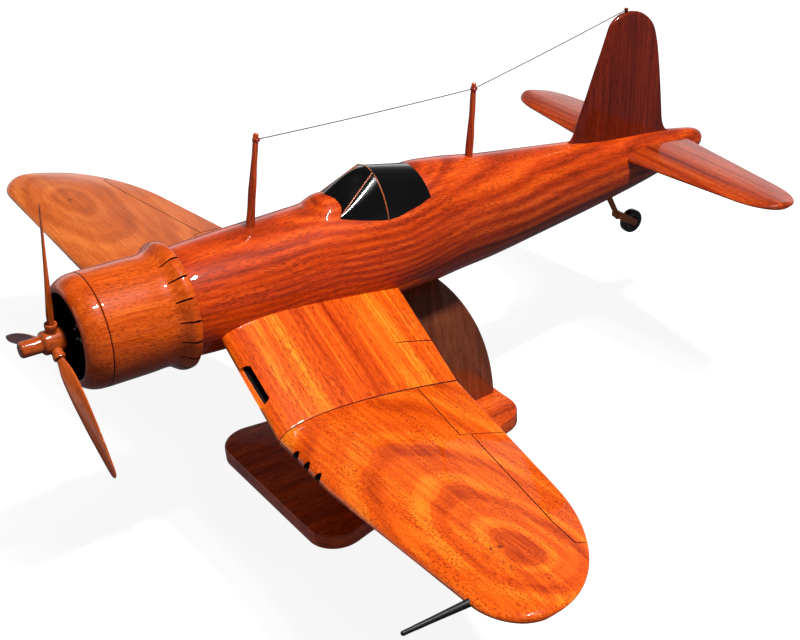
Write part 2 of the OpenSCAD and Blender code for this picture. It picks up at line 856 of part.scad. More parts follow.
module at_blades() {
  for (i = [0 : blade_count - 1]) at_blade(i) children();
}

// Turns +Z to point along blade i.
module at_blade(i) {
  rotate([0, 90 - blade_start - i * 120, 0]) children();
}

module propeller_hub() {
  color(MAHOGANY) in_flight() difference() {
    turned([
      [0, hub_nose_y], [hub_nose_r - 1.4, hub_nose_y], [hub_nose_r - 0.4, hub_nose_y + 0.5],
      [hub_nose_r, hub_nose_y + 1.5], [hub_nose_r, -boss_y - 0.6], [boss_r - 0.8, -boss_y],
      [boss_r, -boss_y + 1.2], [boss_r, boss_y - 1.2], [boss_r - 0.8, boss_y], [hub_nose_r - 0.4, boss_y + 0.8],
      [hub_nose_r - 0.6, neck_end_y], [0, neck_end_y]
    ]);
    along_y(0, neck_end_y + 1, shaft_r);
    at_blades() translate([0, 0, socket_floor]) cylinder(h = 8, r = socket_r);
    at_blades() translate([0, 0, ferrule_from]) cylinder(h = 8, r = ferrule_r);
  }
}

// Blade sections: [distance out, chord, thickness, angle to the disc]
blade_stations = [
  [blade_root, 3.4, 3.4, 60], [12, 4.6, 2.9, 54], [17, 6.6, 2.4, 45], [24, 8, 2.1, 36], [33, 8.6, 1.9, 30],
  [44, 8.2, 1.7, 25], [55, 6.9, 1.5, 21.5], [63, 5.3, 1.3, 20], [68, 3.9, 1.1, 19], [blade_reach - 0.1, 1.4, 0.7, 18.5]
];

module blade_shape() {
  skin([for (s = blade_stations)
    [for (i = [0 : 15])
      let (u = s[1] / 2 * cos(-i * 22.5), v = s[2] / 2 * sin(-i * 22.5))
        [u * cos(s[3]) + v * sin(s[3]), v * cos(s[3]) - u * sin(s[3]), s[0]]]]);
  translate([0, 0, socket_floor]) cylinder(h = blade_root - socket_floor + 0.3, r = socket_r);
}

module propeller_blade(i) {
  color(MAHOGANY) in_flight() difference() {
    at_blade(i) blade_shape();
    along_y(-2, neck_end_y + 1, shaft_r);
  }
}

module blade_ferrules() {
  color(MAHOGANY) in_flight() difference() {
    at_blades() translate([0, 0, ferrule_from]) cylinder(h = ferrule_to - ferrule_from, r = ferrule_r);
    at_blades() blade_shape();
    at_blades() translate([0, 0, ferrule_from - 1]) cylinder(h = 5, r = socket_r);
    along_y(-2, neck_end_y + 1, shaft_r);
  }
}

module propeller_shaft() {
  color(STEEL) in_flight() along_y(0, collar_y + collar_t, shaft_r);
}

module shaft_collar() {
  color(BRASS) in_flight() difference() {
    along_y(collar_y, collar_y + collar_t, collar_r);
    along_y(collar_y - 1, collar_y + collar_t + 1, shaft_r);
  }
}

stand_base();
stand_upright();
stand_screws();
stand_pegs();
fuselage();
cowl_nose_ring();
cowling();
cowl_flap_ring();
engine_plate();
engine_cylinders();
gearbox_dome();
shaft_bush();
windscreen();
canopy_hood();
canopy_hoop();
windscreen_pillars();
in_flight() wing_inner();  // wing_inner_port
in_flight() starboard() wing_inner();  // wing_inner_starboard
in_flight() wing_outer(true);  // wing_outer_port
in_flight() starboard() wing_outer(false);  // wing_outer_starboard
color(MAHOGANY) in_flight() wing_root_dowel_shapes();  // wing_root_dowels
color(MAHOGANY) in_flight() wing_fold_dowel_shapes();  // wing_fold_dowels
in_flight() intake_insert();  // intake_insert_port
in_flight() starboard() intake_insert();  // intake_insert_starboard
in_flight() gun_plugs();  // gun_port_plugs_port
in_flight() starboard() gun_plugs();  // gun_port_plugs_starboard
color(BLACK) in_flight() pitot_shape();  // pitot_tube
fin();
in_flight() stabilizer();  // stabilizer_port
in_flight() starboard() stabilizer();  // stabilizer_starboard
color(MAHOGANY) in_flight() fin_dowel_shapes();  // fin_dowels
color(MAHOGANY) in_flight() stabilizer_dowel_shapes();  // stabilizer_dowels
fin_pin();
mast(mast_front_foot, mast_front_top);  // mast_front
mast(mast_rear_foot, mast_rear_top);  // mast_rear
mast_beads();
antenna_thread();
tail_strut();
tail_fork();
tail_axle();
tail_tyre();
tail_wheel_hub();
propeller_hub();
propeller_blade(0);  // propeller_blade_1
propeller_blade(1);  // propeller_blade_2
propeller_blade(2);  // propeller_blade_3
blade_ferrules();
propeller_shaft();
shaft_collar();
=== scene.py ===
"""Lacquered wooden desk model of an inverted gull-wing propeller fighter on its stand.

The airframe's meshes are drawn level, in millimetres, with the propeller hub's centre at
the origin, X to port, Y aft and Z up. FLIGHT then puts them where the CAD has them. The
stand is drawn in the frame's own axes.
"""

import json
import math

import bmesh
import bpy
import numpy as np
from mathutils import Matrix, Vector


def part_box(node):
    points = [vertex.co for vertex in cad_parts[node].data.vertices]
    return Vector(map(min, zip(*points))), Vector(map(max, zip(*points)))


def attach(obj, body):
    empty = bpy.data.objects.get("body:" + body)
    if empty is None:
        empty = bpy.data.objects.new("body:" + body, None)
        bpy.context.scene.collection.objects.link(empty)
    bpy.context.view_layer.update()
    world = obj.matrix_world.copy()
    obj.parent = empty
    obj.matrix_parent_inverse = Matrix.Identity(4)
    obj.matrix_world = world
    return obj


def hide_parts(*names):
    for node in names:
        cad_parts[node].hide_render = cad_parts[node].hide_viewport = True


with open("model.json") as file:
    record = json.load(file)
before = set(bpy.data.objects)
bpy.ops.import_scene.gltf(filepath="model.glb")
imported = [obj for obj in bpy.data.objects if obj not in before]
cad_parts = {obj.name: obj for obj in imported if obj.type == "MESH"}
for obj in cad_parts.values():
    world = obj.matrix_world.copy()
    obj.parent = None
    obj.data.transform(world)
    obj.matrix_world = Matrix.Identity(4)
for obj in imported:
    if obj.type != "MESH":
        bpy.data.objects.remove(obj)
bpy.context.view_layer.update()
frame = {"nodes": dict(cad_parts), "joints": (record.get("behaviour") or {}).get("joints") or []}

MM = 0.001
JOINTS = {j["name"]: j for j in frame["joints"]}
HUB = Vector(JOINTS["propeller_spin"]["pos_m"])
SHAFT_AXIS = Vector(JOINTS["propeller_spin"]["axis"])
PITCH = math.atan2(-SHAFT_AXIS.z, SHAFT_AXIS.y)
TILT = Matrix.Rotation(-PITCH, 4, "X")
FLIGHT = Matrix.Translation(HUB) @ TILT
STAND = Matrix.Identity(4)


# ---------- Mesh helpers ----------

def spline(knots, column=1):
    """A smooth function through knots [x, value, ...] that never overshoots them."""
    x = np.array([k[0] for k in knots], float)
    y = np.array([k[column] for k in knots], float)
    h = np.diff(x)
    slope = np.diff(y) / h
    m = np.zeros(len(x))
    m[0], m[-1] = slope[0], slope[-1]
    for i in range(1, len(x) - 1):
        if slope[i - 1] * slope[i] > 0:
            w0, w1 = 2 * h[i] + h[i - 1], h[i] + 2 * h[i - 1]
            m[i] = (w0 + w1) / (w0 / slope[i - 1] + w1 / slope[i])

    def value(at):
        at = np.clip(at, x[0], x[-1])
        i = int(np.clip(np.searchsorted(x, at) - 1, 0, len(h) - 1))
        t = (at - x[i]) / h[i]
        return float(
            y[i] * (1 + 2 * t) * (1 - t) ** 2
            + m[i] * h[i] * t * (1 - t) ** 2
            + y[i + 1] * t * t * (3 - 2 * t)
            + m[i + 1] * h[i] * t * t * (t - 1)
        )

    return value


def mix(a, b, t):
    return a + (b - a) * t


def clamp(t, low=0.0, high=1.0):
    return max(low, min(high, t))


def smooth(t):
    t = clamp(t)
    return t * t * (3 - 2 * t)


def finish_mesh(mesh, sharp_deg):
    for face in mesh.polygons:
        face.use_smooth = True
    if sharp_deg:
        mesh.set_sharp_from_angle(angle=math.radians(sharp_deg))


def add_object(name, data):
    obj = bpy.data.objects.new(name, data)
    bpy.context.scene.collection.objects.link(obj)
    return obj


def new_object(name, mesh, material, replaces, body="airframe", place=FLIGHT):
    """A piece in place of a CAD node: its mesh is moved to its place, and it rides on its body."""
    mesh.name = name
    mesh.transform(place)
    obj = add_object(name, mesh)
    obj.data.materials.append(material)
    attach(obj, body)
    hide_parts(replaces)
    return obj


def tool_object(name, mesh, material=None, place=FLIGHT):
    """A cutter, deleted once it has been used."""
    obj = add_object(name, mesh)
    obj.matrix_world = place
    if material is not None:
        obj.data.materials.append(material)
    return obj


def shift(x, y, z):
    """A move given in millimetres."""
    return Matrix.Translation((x * MM, y * MM, z * MM))


def full_turn(steps):
    return np.linspace(0, 2 * math.pi, steps, endpoint=False)


def mesh_of(points, faces, sharp_deg):
    """A smooth-shaded mesh from points in millimetres, its faces turned outwards."""
    mesh = bpy.data.meshes.new("mesh")
    mesh.from_pydata((np.asarray(points, float) * MM).tolist(), [], faces)
    mesh.validate()
    fix_normals(mesh)
    finish_mesh(mesh, sharp_deg)
    return mesh


def loft(rings, sharp_deg=40, cap=(True, True)):
    """A skin over closed rings of points; caps are fans about each end's centre."""
    rings = [np.asarray(r, float) for r in rings]
    n = len(rings[0])
    points = np.vstack(rings)
    faces = []
    for k in range(len(rings) - 1):
        for i in range(n):
            j = (i + 1) % n
            faces.append((k * n + i, k * n + j, (k + 1) * n + j, (k + 1) * n + i))
    if cap[0]:
        faces += [(len(points), (i + 1) % n, i) for i in range(n)]
        points = np.vstack([points, rings[0].mean(0)])
    if cap[1]:
        base = (len(rings) - 1) * n
        faces += [(len(points), base + i, base + (i + 1) % n) for i in range(n)]
        points = np.vstack([points, rings[-1].mean(0)])
    return mesh_of(points, faces, sharp_deg)


def fix_normals(mesh):
    bm = bmesh.new()
    bm.from_mesh(mesh)
    bmesh.ops.recalc_face_normals(bm, faces=bm.faces)
    bm.to_mesh(mesh)
    bm.free()


def rounded(points, radii, steps=4, closed=False):
    """A 2-D outline with its corners rounded by the given radii."""
    points = [Vector(p) for p in points]
    if not hasattr(radii, "__len__"):
        radii = [radii] * len(points)
    out = []
    n = len(points)
    for i, p in enumerate(points):
        r = radii[i]
        if not closed and i in (0, n - 1) or r <= 0:
            out.append(p)
            continue
        a, b = points[i - 1] - p, points[(i + 1) % n] - p
        half = a.angle(b) / 2
        reach = min(r / math.tan(half), 0.49 * a.length, 0.49 * b.length)
        r_used = reach * math.tan(half)
        middle = p + (a.normalized() + b.normalized()).normalized() * (r_used / math.sin(half))
        start, end = p + a.normalized() * reach, p + b.normalized() * reach
        for k in range(steps + 1):
            v = (start - middle).lerp(end - middle, k / steps).normalized() * r_used
            out.append(middle + v)
    return [(v.x, v.y) for v in out]


def lathe(profile, segments=128, sharp_deg=40, closed=False, axis="Y"):
    """Turns a profile of [radius, distance] about the axis. Points on the axis close it."""
    turns = full_turn(segments)
    verts, rows, faces = [], [], []
    for r, y in profile:
        if r < 1e-6:
            rows.append([len(verts)] * segments)
            verts.append((0, y, 0))
        else:
            rows.append(list(range(len(verts), len(verts) + segments)))
            verts += [(r * math.cos(t), y, r * math.sin(t)) for t in turns]
    pairs = list(zip(rows, rows[1:]))
    if closed:
        pairs.append((rows[-1], rows[0]))
    for low, high in pairs:
        for i in range(segments):
            j = (i + 1) % segments
            face = list(dict.fromkeys((low[i], low[j], high[j], high[i])))
            if len(face) > 2:
                faces.append(face)
    order = {"X": (1, 0, 2), "Y": (0, 1, 2), "Z": (0, 2, 1)}[axis]
    return mesh_of(np.array(verts, float)[:, order], faces, sharp_deg)


def tube_rings(path, radii, sides=24, flat=1.0, up=Vector((0, 0, 1))):
    """Rings round a path in millimetres. flat squeezes the section across up."""
    path = [Vector(p) for p in path]
    rings = []
    for i, p in enumerate(path):
        ahead = (path[min(i + 1, len(path) - 1)] - path[max(i - 1, 0)]).normalized()
        side = ahead.cross(up)
        if side.length < 1e-4:
            side = ahead.cross(Vector((0, 1, 0)))
        side.normalize()
        over = side.cross(ahead).normalized()
        r = radii[i] if hasattr(radii, "__len__") else radii
        rings.append([
            p + side * (r * math.cos(a)) + over * (r * flat * math.sin(a))
            for a in full_turn(sides)
        ])
    return [np.array([tuple(v) for v in ring]) for ring in rings]


def join_meshes(meshes, sharp_deg=40):
    bm = bmesh.new()
    for m in meshes:
        bm.from_mesh(m)
    mesh = bpy.data.meshes.new("mesh")
    bm.to_mesh(mesh)
    bm.free()
    for m in meshes:
        bpy.data.meshes.remove(m)
    finish_mesh(mesh, sharp_deg)
    return mesh


def cut(obj, *cutters):
    """Cuts the piece with each cutter and keeps the cutter's own material on the new faces, such as the
    painted shade of the slots and grooves.
    """
    for cutter in cutters:
        mod = obj.modifiers.new("cut", "BOOLEAN")
        mod.operation = "DIFFERENCE"
        mod.solver = "EXACT"
        mod.material_mode = "TRANSFER"
        mod.object = cutter
        apply_modifiers(obj)
        mesh = cutter.data
        bpy.data.objects.remove(cutter)
        bpy.data.meshes.remove(mesh)


def apply_modifiers(obj):
    bpy.context.view_layer.update()
    graph = bpy.context.evaluated_depsgraph_get()
    whole = obj.evaluated_get(graph)
    mesh = bpy.data.meshes.new_from_object(whole, preserve_all_data_layers=True, depsgraph=graph)
    obj.modifiers.clear()
    old = obj.data
    obj.data = mesh
    bpy.data.meshes.remove(old)


def ribbon_mesh(line, top, depth, width):
    """A thin upright wall along a line [x, y], cut `depth` below the surface top(x, y)."""
    dense = []
    for (x0, y0), (x1, y1) in zip(line, line[1:]):
        n = max(2, int(math.hypot(x1 - x0, y1 - y0) / 3))
        dense += [(mix(x0, x1, k / n), mix(y0, y1, k / n)) for k in range(n)]
    dense.append(line[-1])
    rings = []
    for i, (x, y) in enumerate(dense):
        ax, ay = dense[max(i - 1, 0)]
        bx, by = dense[min(i + 1, len(dense) - 1)]
        length = math.hypot(bx - ax, by - ay)
        nx, ny = -(by - ay) / length * width / 2, (bx - ax) / length * width / 2
        z = top(x, y)
        rings.append([
            (x - nx, y - ny, z - depth), (x + nx, y + ny, z - depth),
            (x + nx, y + ny, z + 1.5), (x - nx, y - ny, z + 1.5),
        ])
    return loft(rings, 30)


# ---------- Material helpers ----------

# Growth rings in ovals: how fast they come, where they start, how much they stray, the heart's
# size, the fall of their spacing, the lean of each ring and the fine rings between.
OVAL_RATE, OVAL_PHASE, OVAL_WANDER, OVAL_CORE, OVAL_POWER = 1.76, -1.01, 0.3, 0.09, 0.35
OVAL_LEAN, OVAL_THIN_RATE, OVAL_THIN = 0.13, 5.0, 0.045
# The fuselage's flowing lines: the dip under the canopy, the distant heart, and the line spacings.
FLOW_DIP_Y, FLOW_DIP_LENGTH, FLOW_DIP = 172.0, 30.0, 7.0
FLOW_HEART, FLOW_WOBBLE, FLOW_REAR_FROM, FLOW_REAR_TO = 60.0, 16.0, 182.0, 242.0
FLOW_FRONT_PITCH, FLOW_REAR_PITCH, FLOW_REAR_DEPTH = 3.4, 6.4, 1.6
# How far each wood's seed moves it through the noise.
SEED_STEP = (37.1, 3.3, 5.7)
COAT_IOR, PEEL_SIZE = 1.46, 0.10
# Where the grain's noise turns into pores, and the patches that have more or fewer of them.
PORE_START, PORE_FULL, PORE_PATCH = 0.515, 0.63, (0.03, 0.12, 0.12)


class Term:
    """A node's output that is added, subtracted and multiplied like a number."""

    def __init__(self, nodes, socket):
        self.nodes, self.socket = nodes, socket

    def __add__(self, other):
        return self.nodes.math("ADD", self, other)

    def __sub__(self, other):
        return self.nodes.math("SUBTRACT", self, other)

    def __rsub__(self, other):
        return self.nodes.math("SUBTRACT", other, self)

    def __mul__(self, other):
        return self.nodes.math("MULTIPLY", self, other)


class Nodes:
    """Builds a node tree; every socket is given as a value or another node's output."""

    def __init__(self, owner):
        owner.use_nodes = True
        self.tree = owner.node_tree
        self.tree.nodes.clear()

    def give(self, socket, value):
        if isinstance(value, Term):
            self.tree.links.new(value.socket, socket)
        elif socket.type == "RGBA" and len(value) == 3:
            socket.default_value = (*value, 1)
        else:
            socket.default_value = value

    def node(self, kind, inputs, output=0, **settings):
        n = self.tree.nodes.new("ShaderNode" + kind)
        for key, value in settings.items():
            setattr(n, key, value)
        for key, value in inputs.items():
            self.give(n.inputs[key], value)
        return Term(self, n.outputs[output]) if n.outputs else None

    def split(self, vector):
        n = self.tree.nodes.new("ShaderNodeSeparateXYZ")
        self.give(n.inputs[0], vector)
        return [Term(self, part) for part in n.outputs]

    def vector(self, operation, a, b):
        return self.node("VectorMath", {0: a, 1: b}, operation=operation)

    def length(self, vector):
        return self.node("VectorMath", {0: vector}, "Value", operation="LENGTH")

    def math(self, operation, a, b=0.0):
        return self.node("Math", {0: a, 1: b}, operation=operation)

    def wave(self, turns, rate=1.0):
        """A sine wave that goes through rate periods for each whole turn."""
        return self.math("SINE", turns * (2 * math.pi * rate))

    def noise(self, at, stretch, detail=2.0, rough=0.5, output="Fac"):
        at = self.vector("MULTIPLY", at, stretch)
        inputs = {"Vector": at, "Scale": 1.0, "Detail": detail, "Roughness": rough}
        return self.node("TexNoise", inputs, output)

    def remap(self, value, a, b, c=0.0, d=1.0):
        return self.node("MapRange", {"Value": value, "From Min": a, "From Max": b, "To Min": c, "To Max": d})

    def ramp(self, value, stops):
        n = self.tree.nodes.new("ShaderNodeValToRGB")
        while len(n.color_ramp.elements) < len(stops):
            n.color_ramp.elements.new(0.5)
        for element, (at, colour) in zip(n.color_ramp.elements, stops):
            element.position = at
            element.color = (*colour, 1)
        self.give(n.inputs[0], value)
        return Term(self, n.outputs[0])

    def blend(self, factor, a, b):
        return self.node("Mix", {0: factor, 6: a, 7: b}, 2, data_type="RGBA")

    def bump(self, height, distance, strength):
        return self.node("Bump", {"Height": height, "Distance": distance, "Strength": strength})


class Shader(Nodes):
    """A material with one principled surface."""

    def __init__(self, name):
        self.material = bpy.data.materials.new(name)
        super().__init__(self.material)
        self.surface = self.tree.nodes.new("ShaderNodeBsdfPrincipled")
        self.node("OutputMaterial", {"Surface": Term(self, self.surface.outputs[0])})

    def set(self, **values):
        for key, value in values.items():
            self.give(self.surface.inputs[key.replace("_", " ")], value)
        return self.material

    def place(self, local=None):
        """Coordinates in millimetres in a local frame, such as the level airframe's."""
        at, turn, _ = (local or Matrix.Identity(4)).decompose()
        inputs = {
            "Vector": self.node("TexCoord", {}, "Object"), "Location": at,
            "Rotation": turn.to_euler(), "Scale": (MM, MM, MM),
        }
        return self.node("Mapping", inputs, vector_type="TEXTURE")


def grey(level):
    return (level, level, level)


def linear(r, g, b):
    """A linear colour from 0-255 display values."""
    return tuple(
        (c / 255 / 12.92) if c <= 10 else ((c / 255 + 0.055) / 1.055) ** 2.4 for c in (r, g, b)
    )


def turned_axes(sh, at, grain):
    """Swaps the axes so that the grain runs along the first one."""
    if grain == "x":
        return at
    x, y, z = sh.split(at)
    order = {"y": (y, x, z), "z": (z, x, y)}[grain]
    return sh.node("CombineXYZ", {0: order[0], 1: order[1], 2: order[2]})


def wood(
    name, dark, mid, light, grain="y", seed=0, heart=(30, -70), pitch=4.5, ring_part=0.2,
    band_part=0.28, fine_part=0.3, blotch_part=0.16, warp=4.0, warp_size=(0.010, 0.022), pores=0.6,
    pore_size=(0.30, 1.5), figure=None, knots=(), band_size=0.14, fine_size=0.8, local=FLIGHT,
    roughness=0.36, fine_length=50.0, band_length=250.0,
):
    """Lacquered mahogany: growth rings about a distant heart, bands, streaks and short dark pores.

    figure, if given, makes the ring field from the shader and the coordinates in millimetres.
    knots are small dark spots, each its x, its y and its radius.
    """
    sh = Shader(name)
    place = sh.place(local)
    at = turned_axes(sh, place, grain)
    at = sh.vector("ADD", at, [seed * step for step in SEED_STEP]) if seed else at
    bend = sh.noise(at, (warp_size[0], warp_size[1], warp_size[1]), 2.0, 0.5, "Color")
    bend = sh.vector("SUBTRACT", bend, grey(0.5))
    bend = sh.vector("MULTIPLY", bend, (0, warp * 4, warp * 4))
    bent = sh.vector("ADD", at, bend)

    if figure is None:
        parts = sh.vector("MULTIPLY", bent, (0.02, 1, 1))
        centre = (0, heart[0] + seed * SEED_STEP[1], heart[1] + seed * SEED_STEP[2])
        field = sh.math("DIVIDE", sh.length(sh.vector("SUBTRACT", parts, centre)), pitch)
        field = field + sh.noise(at, (0.012, 0.05, 0.05), 1.0) * 2.0
    else:
        field = figure(sh, place)
    ring = sh.wave(field) * 0.5
    ring = ring * sh.remap(sh.noise(at, (0.02, 0.03, 0.03), 1.0), 0.3, 0.6, 0.4, 1.0)

    band = sh.noise(bent, (1 / band_length, band_size, band_size), 3.0, 0.6)
    fine = sh.noise(bent, (1 / fine_length, fine_size, fine_size), 3.0, 0.7)
    blotch = sh.noise(at, (0.014, 0.03, 0.03), 1.0)
    tone = ring * ring_part
    for part, weight in ((band, band_part), (fine, fine_part), (blotch, blotch_part)):
        tone = tone + (part - 0.5) * (weight * 3)
    tone = tone + 0.5
    between = tuple(mix(d, m, 0.55) for d, m in zip(dark, mid))
    colour = sh.ramp(tone, [(0.0, dark), (0.27, between), (0.5, mid), (0.85, light)])

    grain_noise = sh.noise(bent, (pore_size[0], pore_size[1], pore_size[1]), 1.0, 0.5)
    where = sh.remap(sh.noise(at, PORE_PATCH, 1.0), 0.36, 0.62, 0.5, 1.0)
    pore = sh.remap(grain_noise, PORE_START, PORE_FULL) * where
    deep = tuple(d * 0.75 for d in dark)
    colour = sh.blend(pore * pores, colour, deep)
    for x, y, radius in knots:
        away = sh.length(sh.vector("SUBTRACT", sh.vector("MULTIPLY", place, (1, 1, 0)), (x, y, 0)))
        away = away + sh.noise(place, (0.3, 0.3, 0.3), 2.0) * radius
        colour = sh.blend(sh.remap(away, radius * 0.9, radius * 1.7, 0.8, 0.0), colour, KNOT_BROWN)

    orange_peel = sh.noise(place, (PEEL_SIZE, PEEL_SIZE, PEEL_SIZE), 1.0)
    sh.set(
        Base_Color=colour,
        Roughness=sh.remap(fine, 0.3, 0.7, roughness - 0.05, roughness + 0.08),
        Normal=sh.bump(pore * -0.04, 0.001, 0.5),
        Specular_IOR_Level=0.1,
        Coat_Weight=1.0,
        Coat_Roughness=0.02,
        Coat_IOR=COAT_IOR,
        Coat_Normal=sh.bump(orange_peel, 0.0011, 0.10),
    )
    return sh.material


def ovals(centre, inboard, outboard, across, sign=1):
    """Growth rings in ovals about a knot, longer towards the fuselage and wider apart as they grow."""
    def field(sh, place):
        x, y, _ = sh.split(place)
        x = (x - centre[0]) * sign
        x = sh.math("MINIMUM", x, 0.0) * (1 / inboard) + sh.math("MAXIMUM", x, 0.0) * (1 / outboard)
        y = (y - centre[1]) * (1 / across)
        wander = (sh.noise(place, (0.018, 0.035, 0.02), 2.0) - 0.5) * (OVAL_WANDER * 2)
        growth = sh.math("POWER", sh.math("MAXIMUM", x * x + y * y, OVAL_CORE), OVAL_POWER)
        growth = growth * OVAL_RATE + wander + OVAL_PHASE
        # A second harmonic in step with the first makes each ring's outer edge the crisper one.
        growth = growth + sh.wave(growth) * OVAL_LEAN
        return growth + sh.wave(growth, OVAL_THIN_RATE) * OVAL_THIN
    return field


def flowing(sh, place):
    """Fine lines along the fuselage that dip under the canopy, opening into broad figure at the rear."""
    x, y, z = sh.split(place)
    away = (y - FLOW_DIP_Y) * (1 / FLOW_DIP_LENGTH)
    dip = sh.math("EXPONENT", away * away * -1.0)
    wobble = sh.noise(place, (0.02, 0.011, 0.02), 2.0) - 0.5
    height = z + FLOW_HEART + dip * FLOW_DIP + wobble * FLOW_WOBBLE
    radius = sh.math("POWER", x * x + height * height, 0.5)
    front, rear = sh.wave(radius, 1 / FLOW_FRONT_PITCH), sh.wave(radius, 1 / FLOW_REAR_PITCH)
    aft = sh.remap(y, FLOW_REAR_FROM, FLOW_REAR_TO)
    both = front * (1.0 - aft) + rear * aft * FLOW_REAR_DEPTH
    # The wood's own sine turns this quarter-turn range back into the same wave.
    return sh.math("ARCSINE", both * (1 / FLOW_REAR_DEPTH)) * (0.5 / math.pi)


def gloss(
    name, colour, roughness, coat=1.0, metal=0.0, speck=0.15, grain_mm=0.5, bump_mm=0.002, coat_rough=0.03,
    specular=0.5,
):
    """A lacquered, cast or metal surface with slight unevenness in its colour and sheen."""
    sh = Shader(name)
    place = sh.place()
    mottle = sh.noise(place, (grain_mm, grain_mm, grain_mm), 3.0, 0.6)
    dark = tuple(c * (1 - speck) for c in colour)
    light = tuple(min(1.0, c * (1 + speck)) for c in colour)
    sh.set(
        Base_Color=sh.ramp(mottle, [(0.3, dark), (0.7, light)]),
        Roughness=sh.remap(mottle, 0.3, 0.7, roughness * 0.8, roughness * 1.25),
        Metallic=metal,
        Specular_IOR_Level=specular,
        Coat_Weight=coat,
        Coat_Roughness=coat_rough,
        Normal=sh.bump(mottle, bump_mm * MM * 10, 0.2),
    )
    return sh.material


# ---------- Materials ----------

KNOT_BROWN = linear(70, 26, 8)
FUSELAGE_WOOD = wood(
    "fuselage_mahogany", linear(108, 26, 2), linear(195, 60, 6), linear(228, 88, 16), "y", 0,
    figure=flowing, ring_part=0.62, band_part=0.2, fine_part=0.32, blotch_part=0.12, pore_size=(0.35, 1.8),
    roughness=0.45,
)
COWLING_WOOD = wood(
    "cowling_mahogany", linear(134, 40, 2), linear(207, 80, 12), linear(236, 110, 30), "y", 3,
    heart=(60, -90), pitch=6, ring_part=0.08, band_part=0.2, fine_part=0.34, pores=0.65,
    pore_size=(0.45, 2.1),
)
# The inner wing panels' leading edge, as [distance behind the hub, height] at the root and the fold.
ROOT_X, FOLD_X, ROOT_LE, FOLD_LE = 24.0, 79.0, (71.5, -11.5), (69.1, -38.2)
# Their grain follows the slope down to the fold.
INNER_SLOPE = math.atan2(ROOT_LE[1] - FOLD_LE[1], FOLD_X - ROOT_X)
INNER_WOODS = {
    side: wood(
        f"inner_wing_{side}_mahogany", linear(158, 38, 0), linear(236, 90, 10), linear(255, 140, 30), "x", 5,
        heart=(-160, -20), pitch=11, ring_part=0.06, band_part=0.5, fine_part=0.5, blotch_part=0.06, warp=0.6,
        pores=0.8, pore_size=(0.3, 2.2), band_size=0.075, fine_size=0.5, fine_length=110.0,
        local=FLIGHT @ Matrix.Rotation(slope, 4, "Y"),
    )
    for side, slope in (("port", INNER_SLOPE), ("starboard", -INNER_SLOPE))
}
OUTER_WOODS = {
    "port": wood(
        "outer_wing_port_mahogany", linear(154, 38, 2), linear(232, 90, 10), linear(252, 132, 30), "x", 7,
        figure=ovals((215, 99), 45, 24, 19.5), ring_part=0.5, band_part=0.14, fine_part=0.34,
        blotch_part=0.12, warp=2, pores=0.8, pore_size=(0.7, 2.3), fine_size=0.6,
        knots=((207.3, 92.9, 1.3), (206.7, 88.9, 0.7)),
    ),
    # The starboard panel's figure is the wood's own; its paler, greyer tones are partly painted sheen, the
    # lacquer's reflection at a grazing angle.
    "starboard": wood(
        "outer_wing_starboard_mahogany_painted_sheen", linear(140, 56, 20), linear(212, 100, 38), linear(238, 130, 58),
        "x", 9, figure=ovals((-198, 92), 52, 34, 20, -1), ring_part=0.32, band_part=0.16, fine_part=0.26,
        blotch_part=0.2, warp=2, pores=0.3, pore_size=(0.5, 2.0), knots=((-197, 90, 1.2),),
    ),
}
TAIL_WOOD = wood(
    "tail_mahogany", linear(112, 30, 6), linear(168, 54, 12), linear(196, 78, 24), "x", 11,
    heart=(-60, 20), pitch=5, ring_part=0.12, band_part=0.5, fine_part=0.5, warp=1.5, pores=0.5,
    band_size=0.16, fine_size=0.6, fine_length=100.0,
)
FIN_WOOD = wood(
    "fin_mahogany", linear(64, 12, 2), linear(112, 30, 10), linear(146, 48, 18), "z", 13,
    heart=(60, 40), pitch=3.4, ring_part=0.14, band_part=0.4, warp=2, pores=0.5, band_size=0.2,
)
SMALL = {"warp": 0.8, "warp_size": (0.03, 0.08), "pores": 0.5, "band_size": 0.45, "fine_size": 1.2}
PROPELLER_TONES = (linear(120, 40, 8), linear(190, 82, 26), linear(226, 118, 46))
HUB_WOOD = wood("propeller_hub_mahogany", *PROPELLER_TONES, "y", 16, heart=(12, 9), pitch=2.4, **SMALL)
MAST_WOOD = wood(
    "mast_mahogany", linear(112, 32, 6), linear(178, 62, 18), linear(212, 90, 34), "z", 17,
    heart=(9, 6), pitch=1.6, **SMALL,
)
BASE_WOOD = wood(
    "stand_mahogany", linear(100, 24, 4), linear(212, 74, 18), linear(244, 104, 34), "y", 19,
    heart=(30, -60), pitch=6, ring_part=0.2, band_part=0.36, warp=5, local=STAND,
)
# The upright's darker, greyer tones are partly painted shade and reflection: it stands in the wing's shadow
# and shows grey reflections.
UPRIGHT_SHADED_WOOD = wood(
    "upright_mahogany_painted_shade", linear(66, 26, 12), linear(124, 58, 32), linear(150, 78, 46), "z", 21,
    heart=(40, -50), pitch=5, ring_part=0.12, band_part=0.3, warp=4, pores=0.3, local=STAND,
)
CANOPY_BLACK = gloss("canopy_lacquer", linear(5, 5, 6), 0.08, speck=0.05, grain_mm=0.15, coat_rough=0.02)
SATIN_BLACK = gloss("gun_and_pitot_black", linear(7, 7, 8), 0.5, coat=0.06, speck=0.3, grain_mm=0.9)
ENGINE_BLACK = gloss("engine_black", linear(12, 12, 14), 0.18, coat=0.7, speck=0.3, grain_mm=0.6)
TYRE_BLACK = gloss("tyre_black", linear(13, 13, 15), 0.22, coat=0.6, speck=0.3, grain_mm=1.2)
BRASS = gloss("turned_brass", linear(196, 150, 78), 0.24, coat=0.2, metal=1.0, speck=0.12, grain_mm=0.8)
BRONZE = gloss("fork_bronze", linear(190, 100, 36), 0.34, coat=0.6, metal=0.35, speck=0.25, grain_mm=0.7)
STEEL = gloss("turned_steel", linear(170, 172, 176), 0.26, coat=0.0, metal=1.0, speck=0.1, grain_mm=0.8)
THREAD = gloss("aerial_thread", linear(34, 6, 12), 0.7, coat=0.0, speck=0.4, grain_mm=2.5)
